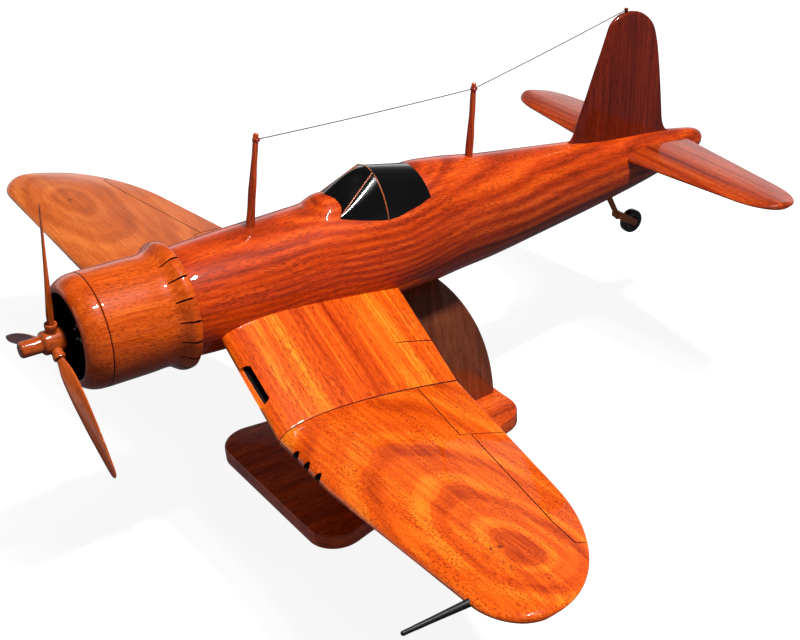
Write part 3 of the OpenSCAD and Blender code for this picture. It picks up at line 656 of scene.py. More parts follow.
INLAY = gloss("copper_inlay", linear(168, 86, 42), 0.35, coat=0.6, metal=0.0, speck=0.2, grain_mm=0.5)
BEAD_RED = gloss("bead_lacquer", linear(150, 34, 30), 0.25, coat=1.0, speck=0.25, grain_mm=1.0)
# Dark brown for the scribed lines and joint lines: painted shade in the grooves and gaps.
GROOVE_SHADE = gloss("scribed_groove_painted_shade", linear(62, 14, 4), 0.6, coat=0.2, speck=0.3, grain_mm=0.9)
# Near-black for the walls of cut holes: in the cowl flap slots and the peg bores it is painted shade; the gun
# ports and the intake slot are black on the model itself.
HOLE_BLACK_AND_SHADE = gloss("hole_black_and_painted_shade", linear(8, 5, 4), 0.6, coat=0.0, speck=0.3, grain_mm=0.9, specular=0.1)


# ---------- Stand ----------

BASE_T, BASE_EDGE = 9.0, 1.3
BASE_HIGH = Vector(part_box("stand_base")[1]) / MM
BASE_FRONT_HALF = BASE_HIGH.x
BASE_REAR_HALF = 32.5
# The corners' radii at the nose end and at the tail end.
FRONT_CORNER, REAR_CORNER = 16.0, 15.0


def base_outline(inset=0.0):
    """The base's plan: a trapezoid with rounded corners, wide at the nose end."""
    y = BASE_HIGH.y
    x0, y0, r0 = BASE_FRONT_HALF - FRONT_CORNER, -y + FRONT_CORNER, FRONT_CORNER
    x1, y1, r1 = BASE_REAR_HALF - REAR_CORNER, y - FRONT_CORNER, REAR_CORNER
    # The long sides are tangent to both corner circles.
    lean = math.atan2(x0 - x1, y1 - y0) + math.asin((r0 - r1) / math.hypot(x0 - x1, y1 - y0))
    out = []
    for x, y, r, start, end in ((x0, y0, r0, -math.pi / 2, lean), (x1, y1, r1, lean, math.pi / 2)):
        for k in range(25):
            a = mix(start, end, k / 24)
            out.append((x + (r - inset) * math.cos(a), y + (r - inset) * math.sin(a)))
    return out + [(-x, y) for x, y in reversed(out)]


def edge_steps(height, radius, steps=6):
    """Insets and heights that round the top and bottom edges of a board."""
    low = [(radius * (1 - math.sin(a)), radius * (1 - math.cos(a)))
           for a in np.linspace(0, math.pi / 2, steps)]
    return low + [(i, height - z) for i, z in reversed(low)]


base_rings = [[(x, y, z) for x, y in base_outline(inset)] for inset, z in edge_steps(BASE_T, BASE_EDGE)]
new_object(
    "stand_base_board", loft(base_rings, 50), BASE_WOOD, "stand_base", "stand", STAND,
)

# Fuselage stations: distance behind the hub, half width, half height, centre height.
FUSELAGE = [
    [60, 25.4, 25.6, 0], [61, 25.9, 26.1, 0], [65, 26.5, 26.7, 0], [72, 27, 27.2, 0], [95, 27.6, 28.3, 0],
    [120, 27.6, 29, 0.3], [145, 27.4, 29.7, 0.7], [170, 27, 30.4, 1.4], [185, 26.6, 32, 3.2],
    [198, 26, 33.2, 4.7], [215, 25, 31.6, 4.6], [242, 22.8, 28.3, 3.4], [270, 20, 24.9, 3.2],
    [300, 16.8, 21.3, 3.2], [330, 13.8, 17.4, 3.5], [352, 11.4, 14.4, 4], [375, 8.6, 10.4, 5],
    [386, 6.9, 8.0, 5.6],
    [393, 5.6, 6.1, 5.9], [396.8, 3.6, 3.9, 6.1], [398.2, 1.2, 1.3, 6.2],
]
TAIL_CONE_Y, FRONT_EDGE_YS = 386, [60.4, 61, 63]
fus_a, fus_b, fus_z = spline(FUSELAGE, 1), spline(FUSELAGE, 2), spline(FUSELAGE, 3)


def oval(y, a, b, zc, sides=128):
    turns = full_turn(sides)
    return np.c_[a * np.cos(turns), np.full(sides, y), zc + b * np.sin(turns)]


# A low wooden rise in front of the windscreen: distance behind the hub, height of its ridge.
COAMING = [[132, 25], [134.5, 28.6], [137, 31], [139.5, 33.0], [142, 34.2], [145, 34.5], [148, 34], [152, 25]]
COAMING_HALF_W, COAMING_BASE, COAMING_BLEND = 14.3, 22.0, 0.8
coaming_ridge = spline(COAMING)


def with_coaming(ring, y):
    """Lifts the top of a fuselage ring to the coaming's arch, with a soft crease."""
    if not COAMING[0][0] <= y <= COAMING[-1][0]:
        return ring
    arch = np.sqrt(np.maximum(0, 1 - (ring[:, 0] / COAMING_HALF_W) ** 2))
    wanted = COAMING_BASE + (coaming_ridge(y) - COAMING_BASE) * arch
    gap = wanted - ring[:, 2]
    lift = (gap + np.sqrt(gap ** 2 + COAMING_BLEND ** 2)) / 2
    lift -= np.where(arch > 0, COAMING_BLEND * 0.12, 0)
    use = (ring[:, 2] > COAMING_BASE - 2) & (arch > 0)
    ring[:, 2] += np.where(use, np.maximum(lift, 0) * np.minimum(1, arch * 6), 0)
    return ring


def fuselage_rings(grow=0.0, step=2.5, sides=128, coaming=True):
    front, end = FUSELAGE[0][0], FUSELAGE[-1][0]
    ys = list(np.arange(front, TAIL_CONE_Y, step)) + list(np.linspace(TAIL_CONE_Y, end, 12)) + FRONT_EDGE_YS
    if coaming:
        ys += list(np.arange(COAMING[0][0] - 2, COAMING[-1][0], 0.8))
    rings = []
    for y in sorted(set(ys)):
        ring = oval(y, fus_a(y) + grow, fus_b(y) + grow, fus_z(y), sides)
        rings.append(with_coaming(ring, y) if coaming else ring)
    return rings


UPRIGHT_T, UPRIGHT_EDGE, SADDLE_GAP = 13.0, 0.9, 0.3
FOOT_REAR, FOOT_FRONT, ARC_R, ARC_RISE = 70.0, -39.0, 128.0, 102.0


def upright_outline():
    """The upright's side view [y, z]: an arched rear edge and a raked front edge."""
    points = [(FOOT_FRONT, BASE_T), (FOOT_REAR - 0.4, BASE_T)]
    for k in range(33):
        a = math.asin(ARC_RISE / ARC_R) * k / 32
        points.append((FOOT_REAR - ARC_R + ARC_R * math.cos(a), BASE_T + 1 + ARC_R * math.sin(a)))
    points += [(-20, BASE_T + ARC_RISE + 1), (-23, 86), (-26, 60), (-31, 34)]
    return points


def upright_mesh():
    outline = upright_outline()
    half = UPRIGHT_T / 2
    middle = np.array(outline).mean(0)
    rings = []
    for inset, x in edge_steps(UPRIGHT_T, UPRIGHT_EDGE, 4):
        ring = []
        for p in outline:
            v = np.array(p) - middle
            q = np.array(p) - v / np.linalg.norm(v) * inset
            ring.append((x - half, q[0], q[1]))
        rings.append(ring)
    return loft(rings, 50)


upright = new_object(
    "stand_upright_board", upright_mesh(), UPRIGHT_SHADED_WOOD, "stand_upright", "stand", STAND,
)
cut(upright, tool_object("saddle", loft(fuselage_rings(SADDLE_GAP, 6, 96, False)), UPRIGHT_SHADED_WOOD))

# ---------- Fuselage ----------

fuselage = new_object(
    "fuselage_body", loft(fuselage_rings(sides=160), 50), FUSELAGE_WOOD, "fuselage",
)
# The bores for the stand's pegs, upright in the frame, their walls near-black as painted shade.
PEG_YS, PEG_BORE_R, PEG_BORE_LOW, PEG_BORE_TOP = (-8, 10), 2.05, 60, 108
for y in PEG_YS:
    profile = [(0, PEG_BORE_LOW), (PEG_BORE_R, PEG_BORE_LOW), (PEG_BORE_R, PEG_BORE_TOP), (0, PEG_BORE_TOP)]
    cut(fuselage, tool_object("bore", lathe(profile, segments=32, axis="Z"), HOLE_BLACK_AND_SHADE, shift(0, y, 0)))

# ---------- Cowling ----------

COWL_R, MOUTH_R, MOUTH_Y, RING_Y, FLAP_Y = 27.4, 21.0, 6.6, 17.5, 47.0
RING_LINE, BLACK_WITHIN = 0.4, 26


def nose_ring_profile():
    points = []
    for k in range(25):
        a = math.pi / 2 * k / 24
        points.append((
            MOUTH_R + (COWL_R - 0.12 - MOUTH_R) * math.sin(a),
            RING_Y - 0.35 - (RING_Y - 0.35 - MOUTH_Y) * math.cos(a),
        ))
    points += [(COWL_R - 0.22, RING_Y - 0.2), (COWL_R - 0.6, RING_Y - 0.12), (24.2, RING_Y - 0.1)]
    points += [(23.6, RING_Y - 0.5), (23.4, 15), (22.6, 11.5), (20.9, 9.0), (20.4, 8.0), (20.4, 7.2)]
    points += [(20.65, 6.75)]
    return points


def paint_inside(obj, limit_r, black):
    """Gives the faces that look inwards, nearer the thrust line than limit_r, the black paint."""
    obj.data.materials.append(black)
    level = FLIGHT.inverted()
    for face in obj.data.polygons:
        centre = level @ face.center
        out = Vector((centre.x, 0, centre.z))
        inward = (level.to_3x3() @ face.normal).dot(out) < 0
        if inward and out.length < limit_r * MM:
            face.material_index = 1


def paint_near(obj, axis, at, reach, paint):
    """Gives the faces whose middles lie within reach of a level plane another material, such as a joint
    line's painted shade.

    Across the span the plane counts on both sides.
    """
    obj.data.materials.append(paint)
    level = FLIGHT.inverted()
    for face in obj.data.polygons:
        middle = level @ face.center
        from_plane = abs(middle.x) if axis == "X" else middle.y
        if abs(from_plane - at * MM) < reach * MM:
            face.material_index = len(obj.data.materials) - 1


nose_ring = new_object(
    "cowl_nose_ring_turned", lathe(nose_ring_profile(), segments=192, closed=True), COWLING_WOOD,
    "cowl_nose_ring",
)
paint_inside(nose_ring, BLACK_WITHIN, ENGINE_BLACK)
# The joint between nose ring and barrel gets a band of painted shade.
paint_near(nose_ring, "Y", RING_Y, RING_LINE, GROOVE_SHADE)

cowl_profile = [
    (24.2, RING_Y + 0.1), (COWL_R - 0.6, RING_Y + 0.12), (COWL_R - 0.2, RING_Y + 0.25),
    (COWL_R - 0.05, RING_Y + 0.6),
]
cowl_profile += [(COWL_R, y) for y in np.linspace(19, 40, 12)]
cowl_profile += [
    (COWL_R - 0.12, 43), (COWL_R - 0.25, 45), (COWL_R - 0.3, FLAP_Y), (22, FLAP_Y), (22, 32), (23.6, 32),
    (23.6, RING_Y + 0.3),
]
cowling = new_object(
    "cowling_barrel", lathe(cowl_profile, segments=192, closed=True, sharp_deg=35), COWLING_WOOD,
    "cowling",
)
paint_inside(cowling, BLACK_WITHIN, ENGINE_BLACK)
# The barrel's side of the same joint gets the same painted shade.
paint_near(cowling, "Y", RING_Y, RING_LINE, GROOVE_SHADE)

FLAP_END, FLAP_SLOTS = 60.0, 18
flap_knots = [[47, 27.1], [49, 27.2], [51.5, 27.9], [54, 29.6], [56, 30.8], [57.2, 31.0], [58.6, 30.95]]
flap_line = spline(flap_knots)
flap_profile = [(flap_line(y), y) for y in np.linspace(47, 58.6, 24)]
flap_profile += [
    (30.8, 59.4), (30.3, 59.9), (29.7, FLAP_END), (28.4, FLAP_END - 0.3), (27.6, 58.4), (26.9, 57.2),
    (24.5, 56.8), (22, 56.8), (22, 47),
]
flaps = new_object(
    "cowl_flap_ring_turned", lathe(flap_profile, segments=216, closed=True, sharp_deg=38), COWLING_WOOD,
    "cowl_flap_ring",
)
for i in range(1, FLAP_SLOTS):
    # No slot at the very top, where the ring runs on unbroken.
    turn = math.radians(270 + i * 360 / FLAP_SLOTS)
    # Each slot is a narrow wedge that opens towards the rear edge; its near-black walls paint the shade
    # inside the slot.
    wedge = []
    for y, inner_r, half in ((50.6, 26.3, 0.3), (62, 27.4, 0.6)):
        wedge.append([(inner_r, y, -half), (inner_r, y, half), (33, y, half), (33, y, -half)])
    cutter = tool_object("slot", loft(wedge), HOLE_BLACK_AND_SHADE, FLIGHT @ Matrix.Rotation(turn, 4, "Y"))
    cut(flaps, cutter)
finish_mesh(flaps.data, 38)

# ---------- Engine ----------

PLATE_Y, CYLINDER_Y, CYLINDERS, HEAD_R, HEAD_H = 32.0, 26.5, 9, 18.6, 3.6


def engine_cylinder():
    profile = [(0, 6), (3.0, 6), (3.0, 8.8)]
    for k in range(7):
        z = 9.0 + k * 1.15
        profile += [(3.0, z), (3.62, z + 0.1), (3.66, z + 0.3), (3.62, z + 0.5), (3.0, z + 0.6)]
    profile += [(3.0, 17.4), (3.6, 17.7)]
    quarter = np.linspace(0, math.pi / 2, 9)[:-1]
    profile += [(3.7 * math.cos(a), HEAD_R + HEAD_H * math.sin(a)) for a in quarter]
    profile += [(0, HEAD_R + HEAD_H)]
    return lathe(profile, segments=40, axis="Z", sharp_deg=32)


def engine_mesh():
    parts = []
    for i in range(CYLINDERS):
        turn = Matrix.Rotation(2 * math.pi * i / CYLINDERS, 4, "Y")
        body = engine_cylinder()
        body.transform(turn @ shift(0, CYLINDER_Y, 0))
        parts.append(body)
        for side in (-1, 1):
            path = [(side * 1.3, 21.0, 7.0), (side * 1.9, 22.2, 12.5), (side * 2.5, 23.4, 18.4)]
            rod = loft(tube_rings(path, [0.55, 0.55, 0.5], 12, up=Vector((1, 0, 0))))
            rod.transform(turn)
            parts.append(rod)
    return join_meshes(parts, 32)


new_object(
    "engine_cylinders_finned", engine_mesh(), ENGINE_BLACK, "engine_cylinders",
)
dome = rounded([
    (2.9, 13), (4.6, 13), (6.6, 14.4), (7.2, 17), (7.4, 20.6), (8.6, 21.2), (8.6, 23), (8, 24), (8, PLATE_Y),
    (2.9, PLATE_Y),
], 0.5, 3, True)
new_object(
    "gearbox_dome_turned", lathe(dome, segments=96, closed=True), ENGINE_BLACK,
    "gearbox_dome",
)

# ---------- Canopy ----------

# Where the canopy's lower edge meets the fuselage: distance behind the hub, angle up the side.
CANOPY_EDGE = [
    [144.8, 59], [155, 50.5], [162.6, 45.5], [168.6, 42.4], [176, 41], [185.4, 41], [193.5, 42.7],
    [198, 43.6],
]
# Height of the windscreen's middle line.
SCREEN_RIDGE = [[144.8, 34.6], [151.5, 38.6], [155.8, 40.9], [160.2, 42.6], [163.6, 43.3], [168.6, 43.2]]
CANOPY_START, HOOP_Y, HOOD_END = 144.8, 168.6, 194.4
HOOP_A, HOOP_B, HOOP_Z = 20.2, 29.2, 14.0
PILLAR_FOOT, PILLAR_HEAD = np.array((13.6, 26.9)), np.array((6.5, 42.3))
SIDE_BULGE, RIDGE_SOFT, HOOD_LAP = 0.09, 0.15, 0.16
edge_angle, screen_ridge = spline(CANOPY_EDGE), spline(SCREEN_RIDGE)


def body_at(y, angle, grow=0.0):
    """A point [x, z] on the fuselage at distance y, angle degrees up its port side."""
    a = math.radians(angle)
    return np.array(((fus_a(y) + grow) * math.cos(a), fus_z(y) + (fus_b(y) + grow) * math.sin(a)))


def arch_at(angle):
    a = math.radians(angle)
    return np.array((HOOP_A * math.cos(a), HOOP_Z + HOOP_B * math.sin(a)))


ARCH_ANGLE = math.degrees(math.asin((body_at(HOOP_Y, edge_angle(HOOP_Y))[1] - HOOP_Z) / HOOP_B))


def mirrored_ring(half):
    """A closed ring from the port half of its outline, points [x, y, z] from the edge to the top."""
    (x0, y0, z0) = half[0]
    ring = [(x0 - 4, y0, z0 - 7)] + [tuple(p) for p in half]
    ring += [(-p[0], p[1], p[2]) for p in reversed(half[:-1])]
    return ring + [(-(x0 - 4), y0, z0 - 7)]


def pillar_at(y):
    t = (y - CANOPY_START) / (HOOP_Y - CANOPY_START)
    return PILLAR_FOOT + (PILLAR_HEAD - PILLAR_FOOT) * t


def screen_half(y):
    """A flat side panel up to the pillar, then half of the middle panel."""
    edge = pillar_at(y)
    low = body_at(y, edge_angle(y))
    along = (edge - low) / np.linalg.norm(edge - low)
    out = np.array((along[1], -along[0]))
    half = []
    bulge = SIDE_BULGE * np.linalg.norm(edge - low)
    for u in np.linspace(0, 1, 17)[:-1]:
        half.append(low + (edge - low) * u + out * bulge * 4 * u * (1 - u))
    # The middle panel is nearly straight from the pillar to a soft ridge.
    for u in np.linspace(1, 0, 17):
        fall = (math.hypot(u, RIDGE_SOFT) - RIDGE_SOFT) / (math.hypot(1, RIDGE_SOFT) - RIDGE_SOFT)
        half.append((edge[0] * u, mix(screen_ridge(y), edge[1], fall)))
    return [(p[0], y, p[1]) for p in half]


def hood_half(v):
    """The hood's outline at v from the hoop (0) to its rear edge (1), straight between."""
    y = mix(HOOP_Y, HOOD_END, v)
    rear_edge = edge_angle(HOOD_END)
    half = []
    for u in np.linspace(0, 1, 37):
        rear = body_at(HOOD_END, mix(rear_edge, 90, u), HOOD_LAP)
        p = mix(arch_at(mix(ARCH_ANGLE, 90, u)), rear, v)
        low_end = mix(arch_at(ARCH_ANGLE), body_at(HOOD_END, rear_edge, HOOD_LAP), v)
        p = p + (body_at(y, edge_angle(y)) - low_end) * (1 - u) ** 2
        half.append((p[0], y, p[1]))
    return half


screen_rings = [mirrored_ring(screen_half(y)) for y in np.linspace(CANOPY_START, HOOP_Y, 36)]
new_object("windscreen_glazing", loft(screen_rings, 14), CANOPY_BLACK, "windscreen")
hood_rings = [mirrored_ring(hood_half(v)) for v in np.linspace(0, 1, 28)]
# A last ring turns the hood's rear edge down into the fuselage.
hood_rings.append(mirrored_ring([(p[0] * 0.985, p[1] + 0.25, p[2] - 0.5) for p in hood_half(1)]))
new_object("canopy_hood_glazing", loft(hood_rings, 45), CANOPY_BLACK, "canopy_hood")


def hoop_mesh():
    """A narrow band with rounded edges over the joint between windscreen and hood."""
    base = hood_half(0)
    line = base + [(-p[0], p[1], p[2]) for p in reversed(base[:-1])]
    section = rounded([(-0.32, -0.5), (0.32, -0.5), (0.32, 0.22), (-0.32, 0.22)], 0.16, 3, True)
    rings = []
    for i, (x, y, z) in enumerate(line):
        ax, _, az = line[max(i - 1, 0)]
        bx, _, bz = line[min(i + 1, len(line) - 1)]
        length = math.hypot(bx - ax, bz - az)
        nx, nz = (bz - az) / length, -(bx - ax) / length
        rings.append([(x + nx * out, y + across, z + nz * out) for across, out in section])
    return loft(rings, 50)


new_object("canopy_hoop_band", hoop_mesh(), INLAY, "canopy_hoop")


def pillar_mesh(side):
    """A slim strip down the crease from the hoop to the windscreen's lower corner."""
    path = []
    for y in np.linspace(CANOPY_START - 0.4, HOOP_Y - 0.3, 21):
        edge = pillar_at(y)
        path.append((side * (edge[0] - 0.05), y, edge[1] - 0.05))
    return loft(tube_rings(path, 0.38, 14, flat=0.8), 60)


pillars = join_meshes([pillar_mesh(-1), pillar_mesh(1)], 60)
new_object("windscreen_pillar_strips", pillars, INLAY, "windscreen_pillars")

# ---------- Wings ----------

HALF_SPAN = 248.2
# How far round its quarter turn a tip's last section lies.
TIP_TURN = math.radians(88.9)
ROOT_TE, FOLD_TE = (171.7, -16.1), (166.8, -39.9)
ROOT_T, FOLD_T, TIP_T = 15.0, 12.5, 8.0
MID_LE, MID_X, TIP_START, TIP_FRONT, TIP_Y = 64.8, 128.0, 181.0, 226.0, 82.5
TE_SLOPE, OUTER_RISE, OUTER_WASH = -0.234, 0.0651, 0.022
UPPER, EDGE_T = 0.62, 0.7
FOIL_POINTS = 28


def foil_half(s):
    return (0.2969 * math.sqrt(s) - 0.1260 * s - 0.3516 * s ** 2 + 0.2843 * s ** 3 - 0.1015 * s ** 4) / 0.2


def foil(chord, thick, upper=UPPER):
    """Points [along, across] of a section: over the top from the nose, round the tail and back."""
    steps = [(1 - math.cos(math.pi * j / FOIL_POINTS)) / 2 for j in range(FOIL_POINTS + 1)]
    edge = EDGE_T
    tail = edge / 2 / max(chord, 0.01)
    over = [(s * chord * (1 - tail), 2 * upper * thick * foil_half(s) + s * edge / 2) for s in steps]
    under = [
        (s * chord * (1 - tail), -2 * (1 - upper) * thick * foil_half(s) - s * edge / 2)
        for s in reversed(steps[1:])
    ]
    top, bottom = over[-1], under[0]
    centre, radius = (top[1] + bottom[1]) / 2, (top[1] - bottom[1]) / 2
    bend = (math.pi / 4, 0, -math.pi / 4)
    cap = [(top[0] + edge / 2 * math.cos(a), centre + radius * math.sin(a)) for a in bend]
    return over + cap + under


def wing_ring(x, le, te, thick):
    ring = []
    for along, across in foil(te[0] - le[0], thick):
        ring.append((x, le[0] + along, mix(le[1], te[1], along / (te[0] - le[0])) + across))
    return ring


def inner_edges(x):
    t = (x - ROOT_X) / (FOLD_X - ROOT_X)
    le = (mix(ROOT_LE[0], FOLD_LE[0], t), mix(ROOT_LE[1], FOLD_LE[1], t))
    te = (mix(ROOT_TE[0], FOLD_TE[0], t), mix(ROOT_TE[1], FOLD_TE[1], t))
    return le, te, mix(ROOT_T, FOLD_T, t)


def outer_z(x, y):
    return FOLD_LE[1] + OUTER_RISE * (x - FOLD_X) - OUTER_WASH * (y - FOLD_LE[0])


def outer_edges(x):
    tip = clamp((x - TIP_START) / (HALF_SPAN - TIP_START))
    nose = clamp((x - TIP_FRONT) / (HALF_SPAN - TIP_FRONT))
    out = (x - FOLD_X) / (MID_X - FOLD_X)
    front = mix(FOLD_LE[0], MID_LE, smooth(out) * 0.5 + 0.5 * clamp(out))
    le_y = mix(front, TIP_Y, 1 - math.sqrt(max(0.0, 1 - nose ** 2)))
    te_y = mix(TIP_Y, FOLD_TE[0] + TE_SLOPE * (x - FOLD_X), (1 - tip ** 2.25) ** (1 / 2.25))
    thick = mix(FOLD_T, TIP_T, clamp((x - FOLD_X) / (TIP_START - FOLD_X))) * math.sqrt(1 - 0.72 * tip ** 3)
    thick *= clamp((te_y - le_y) / 26) ** 0.6
    return (le_y, outer_z(x, le_y)), (te_y, outer_z(x, te_y)), thick


def top_of(edges):
    """The height of the upper surface over [x, y]."""
    def top(x, y):
        le, te, thick = edges(x)
        s = clamp((y - le[0]) / (te[0] - le[0]))
        return mix(le[1], te[1], s) + 2 * UPPER * thick * foil_half(s) + s * EDGE_T / 2
    return top


def tip_steps(start, end, count):
    """Stations that crowd together as the tip closes."""
    return [start + (end - start) * math.sin(a) for a in np.linspace(0, TIP_TURN, count)]


def panel_end_ring(ring, inset):
    """The ring drawn in towards its middle line, to round the edge at a joint."""
    ring = np.array(ring)
    n = len(ring)
    mirror = ring[[(n - i) % n for i in range(n)]]
    middle = (ring + mirror) / 2
    gap = np.linalg.norm(ring - middle, axis=1, keepdims=True)
    move = np.minimum(inset, gap * 0.5)
    direction = (middle - ring) / np.maximum(gap, 1e-6)
    return ring + direction * move


JOINT_GAP, FOLD_LINE, END_INSETS = 0.12, 0.22, (0.32, 0.12)


def outer_wing_mesh():
    start = FOLD_X + JOINT_GAP
    xs = [start, start + 0.1, start + 0.2, *np.arange(start + 2, TIP_START, 3.0)]
    xs += tip_steps(TIP_START, HALF_SPAN, 44)
    rings = [wing_ring(x, *outer_edges(x)) for x in xs]
    for i, inset in enumerate(END_INSETS):
        rings[i] = panel_end_ring(rings[i], inset)
    return loft(rings, 55)


def inner_wing_mesh():
    end = FOLD_X - JOINT_GAP
    xs = [15, *np.arange(20, 78, 3), 78.0, end - 0.2, end - 0.1, end]
    rings = [wing_ring(x, *inner_edges(x)) for x in xs]
    for i, inset in enumerate(END_INSETS):
        rings[-1 - i] = panel_end_ring(rings[-1 - i], inset)
    return loft(rings, 55)


# Scribed control-surface lines, as [x, y] on the port side.
AILERON = [(128.5, 138.6), (203.9, 122.6), (218.6, 121.2), (222.4, 129.6)]
OUTER_FLAP = [(79.6, 143.6), (126.2, 133.7), (132.6, 156.2)]
INNER_FLAP = [(55.6, 171.5), (54.2, 149.0)]
SCRIBE_W, SCRIBE_DEPTH = 0.55, 0.5
GUN_XS, GUN_Y, GUN_R, GUN_PLUG = (95, 105.8, 116.6), 64.0, 2.3, 7.0
SLOT_X0, SLOT_X1, SLOT_H, SLOT_DEPTH, SLOT_RISE, SLOT_LIP = 41.5, 63.5, 4.2, 13.0, 2.4, 2.6


def flip(mesh):
    """The starboard copy of a port mesh."""
    mesh.transform(Matrix.Scale(-1, 4, (1, 0, 0)))
    fix_normals(mesh)
    return mesh


SIDES = {"port": lambda mesh: mesh, "starboard": flip}


def intake_cutter(mouth_wood):
    """A rounded slot that follows the inner panel's leading edge."""
    middle = (SLOT_X0 + SLOT_X1) / 2
    le, _, _ = inner_edges(middle)
    half, tall = (SLOT_X1 - SLOT_X0) / 2, SLOT_H / 2
    outline = rounded([(-half, -tall), (half, -tall), (half, tall), (-half, tall)], tall - 0.2, 8, True)
    rings = []
    for y, grow in ((-9, 3.4), (-0.6, 1.5), (0.3, 0.75), (1.2, 0.25), (SLOT_LIP, 0), (SLOT_DEPTH, 0)):
        wide, down, up = 1 + 0.6 * grow / half, 1 + grow / SLOT_H * 2.0, 1 + grow / SLOT_H * 0.3
        rings.append([(x * wide, y, z * (down if z < 0 else up)) for x, z in outline])
    mesh = loft(rings, 50)
    # The rounded mouth shows wood, and the slot behind it is black.
    mesh.materials.append(HOLE_BLACK_AND_SHADE)
    mesh.materials.append(mouth_wood)
    for face in mesh.polygons:
        if -8.9 * MM < face.center.y < SLOT_LIP * MM:
            face.material_index = 1
    mesh.transform(shift(middle, le[0], le[1] + SLOT_RISE) @ Matrix.Rotation(INNER_SLOPE, 4, "Y"))
    return mesh


def gun_cutter(x):
    profile = [
        (0, -6), (GUN_R + 0.5, -6), (GUN_R + 0.12, 0.2), (GUN_R, 1.4), (GUN_R, GUN_PLUG), (0, GUN_PLUG),
    ]
    mesh = lathe(profile, segments=48)
    mesh.transform(shift(x, GUN_Y, outer_z(x, GUN_Y) + 0.6))
    return mesh


def scribe(line, edges, depth=SCRIBE_DEPTH, width=SCRIBE_W):
    """A cutter for a scribed line on the upper surface of a panel."""
    return ribbon_mesh(line, top_of(edges), depth, width)


for side, turn in SIDES.items():
    inner = new_object(
        f"wing_inner_{side}_panel", turn(inner_wing_mesh()), INNER_WOODS[side],
        f"wing_inner_{side}",
    )
    cut(
        inner,
        tool_object("intake", turn(intake_cutter(INNER_WOODS[side]))),
        tool_object("scribe", turn(scribe(INNER_FLAP, inner_edges)), GROOVE_SHADE),
    )
    finish_mesh(inner.data, 40)
    # The fold joint gets a band of painted shade on both panels.
    paint_near(inner, "X", FOLD_X, FOLD_LINE, GROOVE_SHADE)
    outer = new_object(
        f"wing_outer_{side}_panel", turn(outer_wing_mesh()), OUTER_WOODS[side],
        f"wing_outer_{side}",
    )
    cutters = [tool_object("gun", turn(gun_cutter(x)), HOLE_BLACK_AND_SHADE) for x in GUN_XS]
    # The scribed lines' walls take the groove's painted shade.
    cutters += [
        tool_object("scribe", turn(scribe(line, outer_edges)), GROOVE_SHADE)
        for line in (AILERON, OUTER_FLAP)
    ]
    cut(outer, *cutters)
    finish_mesh(outer.data, 40)
    # The outer panel's side of the fold gets the same painted shade.
    paint_near(outer, "X", FOLD_X, FOLD_LINE, GROOVE_SHADE)

# The probe on the port leading edge, a tapered rod with a rounded nose.
PITOT = (224.0, -28.8)
nose_turns = np.linspace(0.15, math.pi / 2, 8)
pitot_profile = [(0, 35.2)] + [(math.sin(a), 36.2 - math.cos(a)) for a in nose_turns]
pitot_profile += [
    (1.0, 37), (1.02, 41), (1.12, 41.6), (1.2, 48), (1.45, 58), (1.7, 66), (1.75, 68), (1.2, 70),
    (1.2, 73.5), (0, 73.5),
]
pitot_mesh = lathe(pitot_profile, segments=40)
pitot_mesh.transform(shift(PITOT[0], 0, PITOT[1]))
new_object("pitot_probe", pitot_mesh, SATIN_BLACK, "pitot_tube")

# ---------- Tail ----------

STAB_Z, STAB_HALF, STAB_TIP_START, STAB_TIP_Y = 10.5, 105.2, 81.0, 357.0


def stab_edges(x):
    part = clamp((x - STAB_TIP_START) / (STAB_HALF - STAB_TIP_START))
    fade = (1 - part ** 2.5) ** 0.4
    a = mix(STAB_TIP_Y, 330 + 0.122 * x, fade)
    b = mix(STAB_TIP_Y, 381.8 - 0.114 * x, fade)
    thick = mix(5.6, 3.4, clamp(x / STAB_HALF)) * clamp((b - a) / 14) ** 0.6
    return (a, STAB_Z), (b, STAB_Z), thick


def stab_mesh():
    xs = [3] + list(np.arange(8, STAB_TIP_START, 4))
    xs += tip_steps(STAB_TIP_START, STAB_HALF, 36)
    return loft([wing_ring(x, *stab_edges(x)) for x in xs], 55)


ELEVATOR = [(13, 364.5), (93, 361.5), (97.5, 371.5)]
for side, turn in SIDES.items():
    stab = new_object(
        f"stabilizer_{side}_panel", turn(stab_mesh()), TAIL_WOOD, f"stabilizer_{side}",
    )
    # The elevator line's walls take the groove's painted shade.
    cut(stab, tool_object("scribe", turn(scribe(ELEVATOR, stab_edges, 0.15, 0.16)), GROOVE_SHADE))
    finish_mesh(stab.data, 40)

FIN_BASE, FIN_TOP, PIN_Y = 8.0, 90.7, 335.0
FIN_TAPER_Z = 66
# The fin's leading and trailing edges: height, distance behind the hub.
FIN_LE = [
    [8, 297], [25, 301.2], [36.6, 305.1], [47, 309.2], [61, 314.4], [72.8, 319], [80, 321.6], [85, 323.7],
    [87.6, 326.1], [89.4, 329.6], [90.3, 333], [90.7, 337],
]
FIN_TE = [
    [8, 369], [24.5, 367], [35, 365.5], [55, 362.3], [66, 360.2], [74.7, 357.9], [79.6, 355.9], [83.5, 352.9],
    [87.8, 347.4], [89.8, 342.8], [90.7, 338.4],
]
fin_le, fin_te = spline(FIN_LE), spline(FIN_TE)


def fin_edges(z):
    a, b = fin_le(z), fin_te(z)
    # Small fillets run into the fuselage's back at both ends.
    front, rear = clamp((31 - z) / 6), clamp((26 - z) / 10)
    a -= 2.6 * (1 - math.sqrt(1 - front ** 2))
    b += 4.5 * (1 - math.sqrt(1 - rear ** 2))
    thick = mix(6.4, 3.6, z / FIN_TOP) * clamp((b - a) / 14) ** 0.6
    return a, b, thick


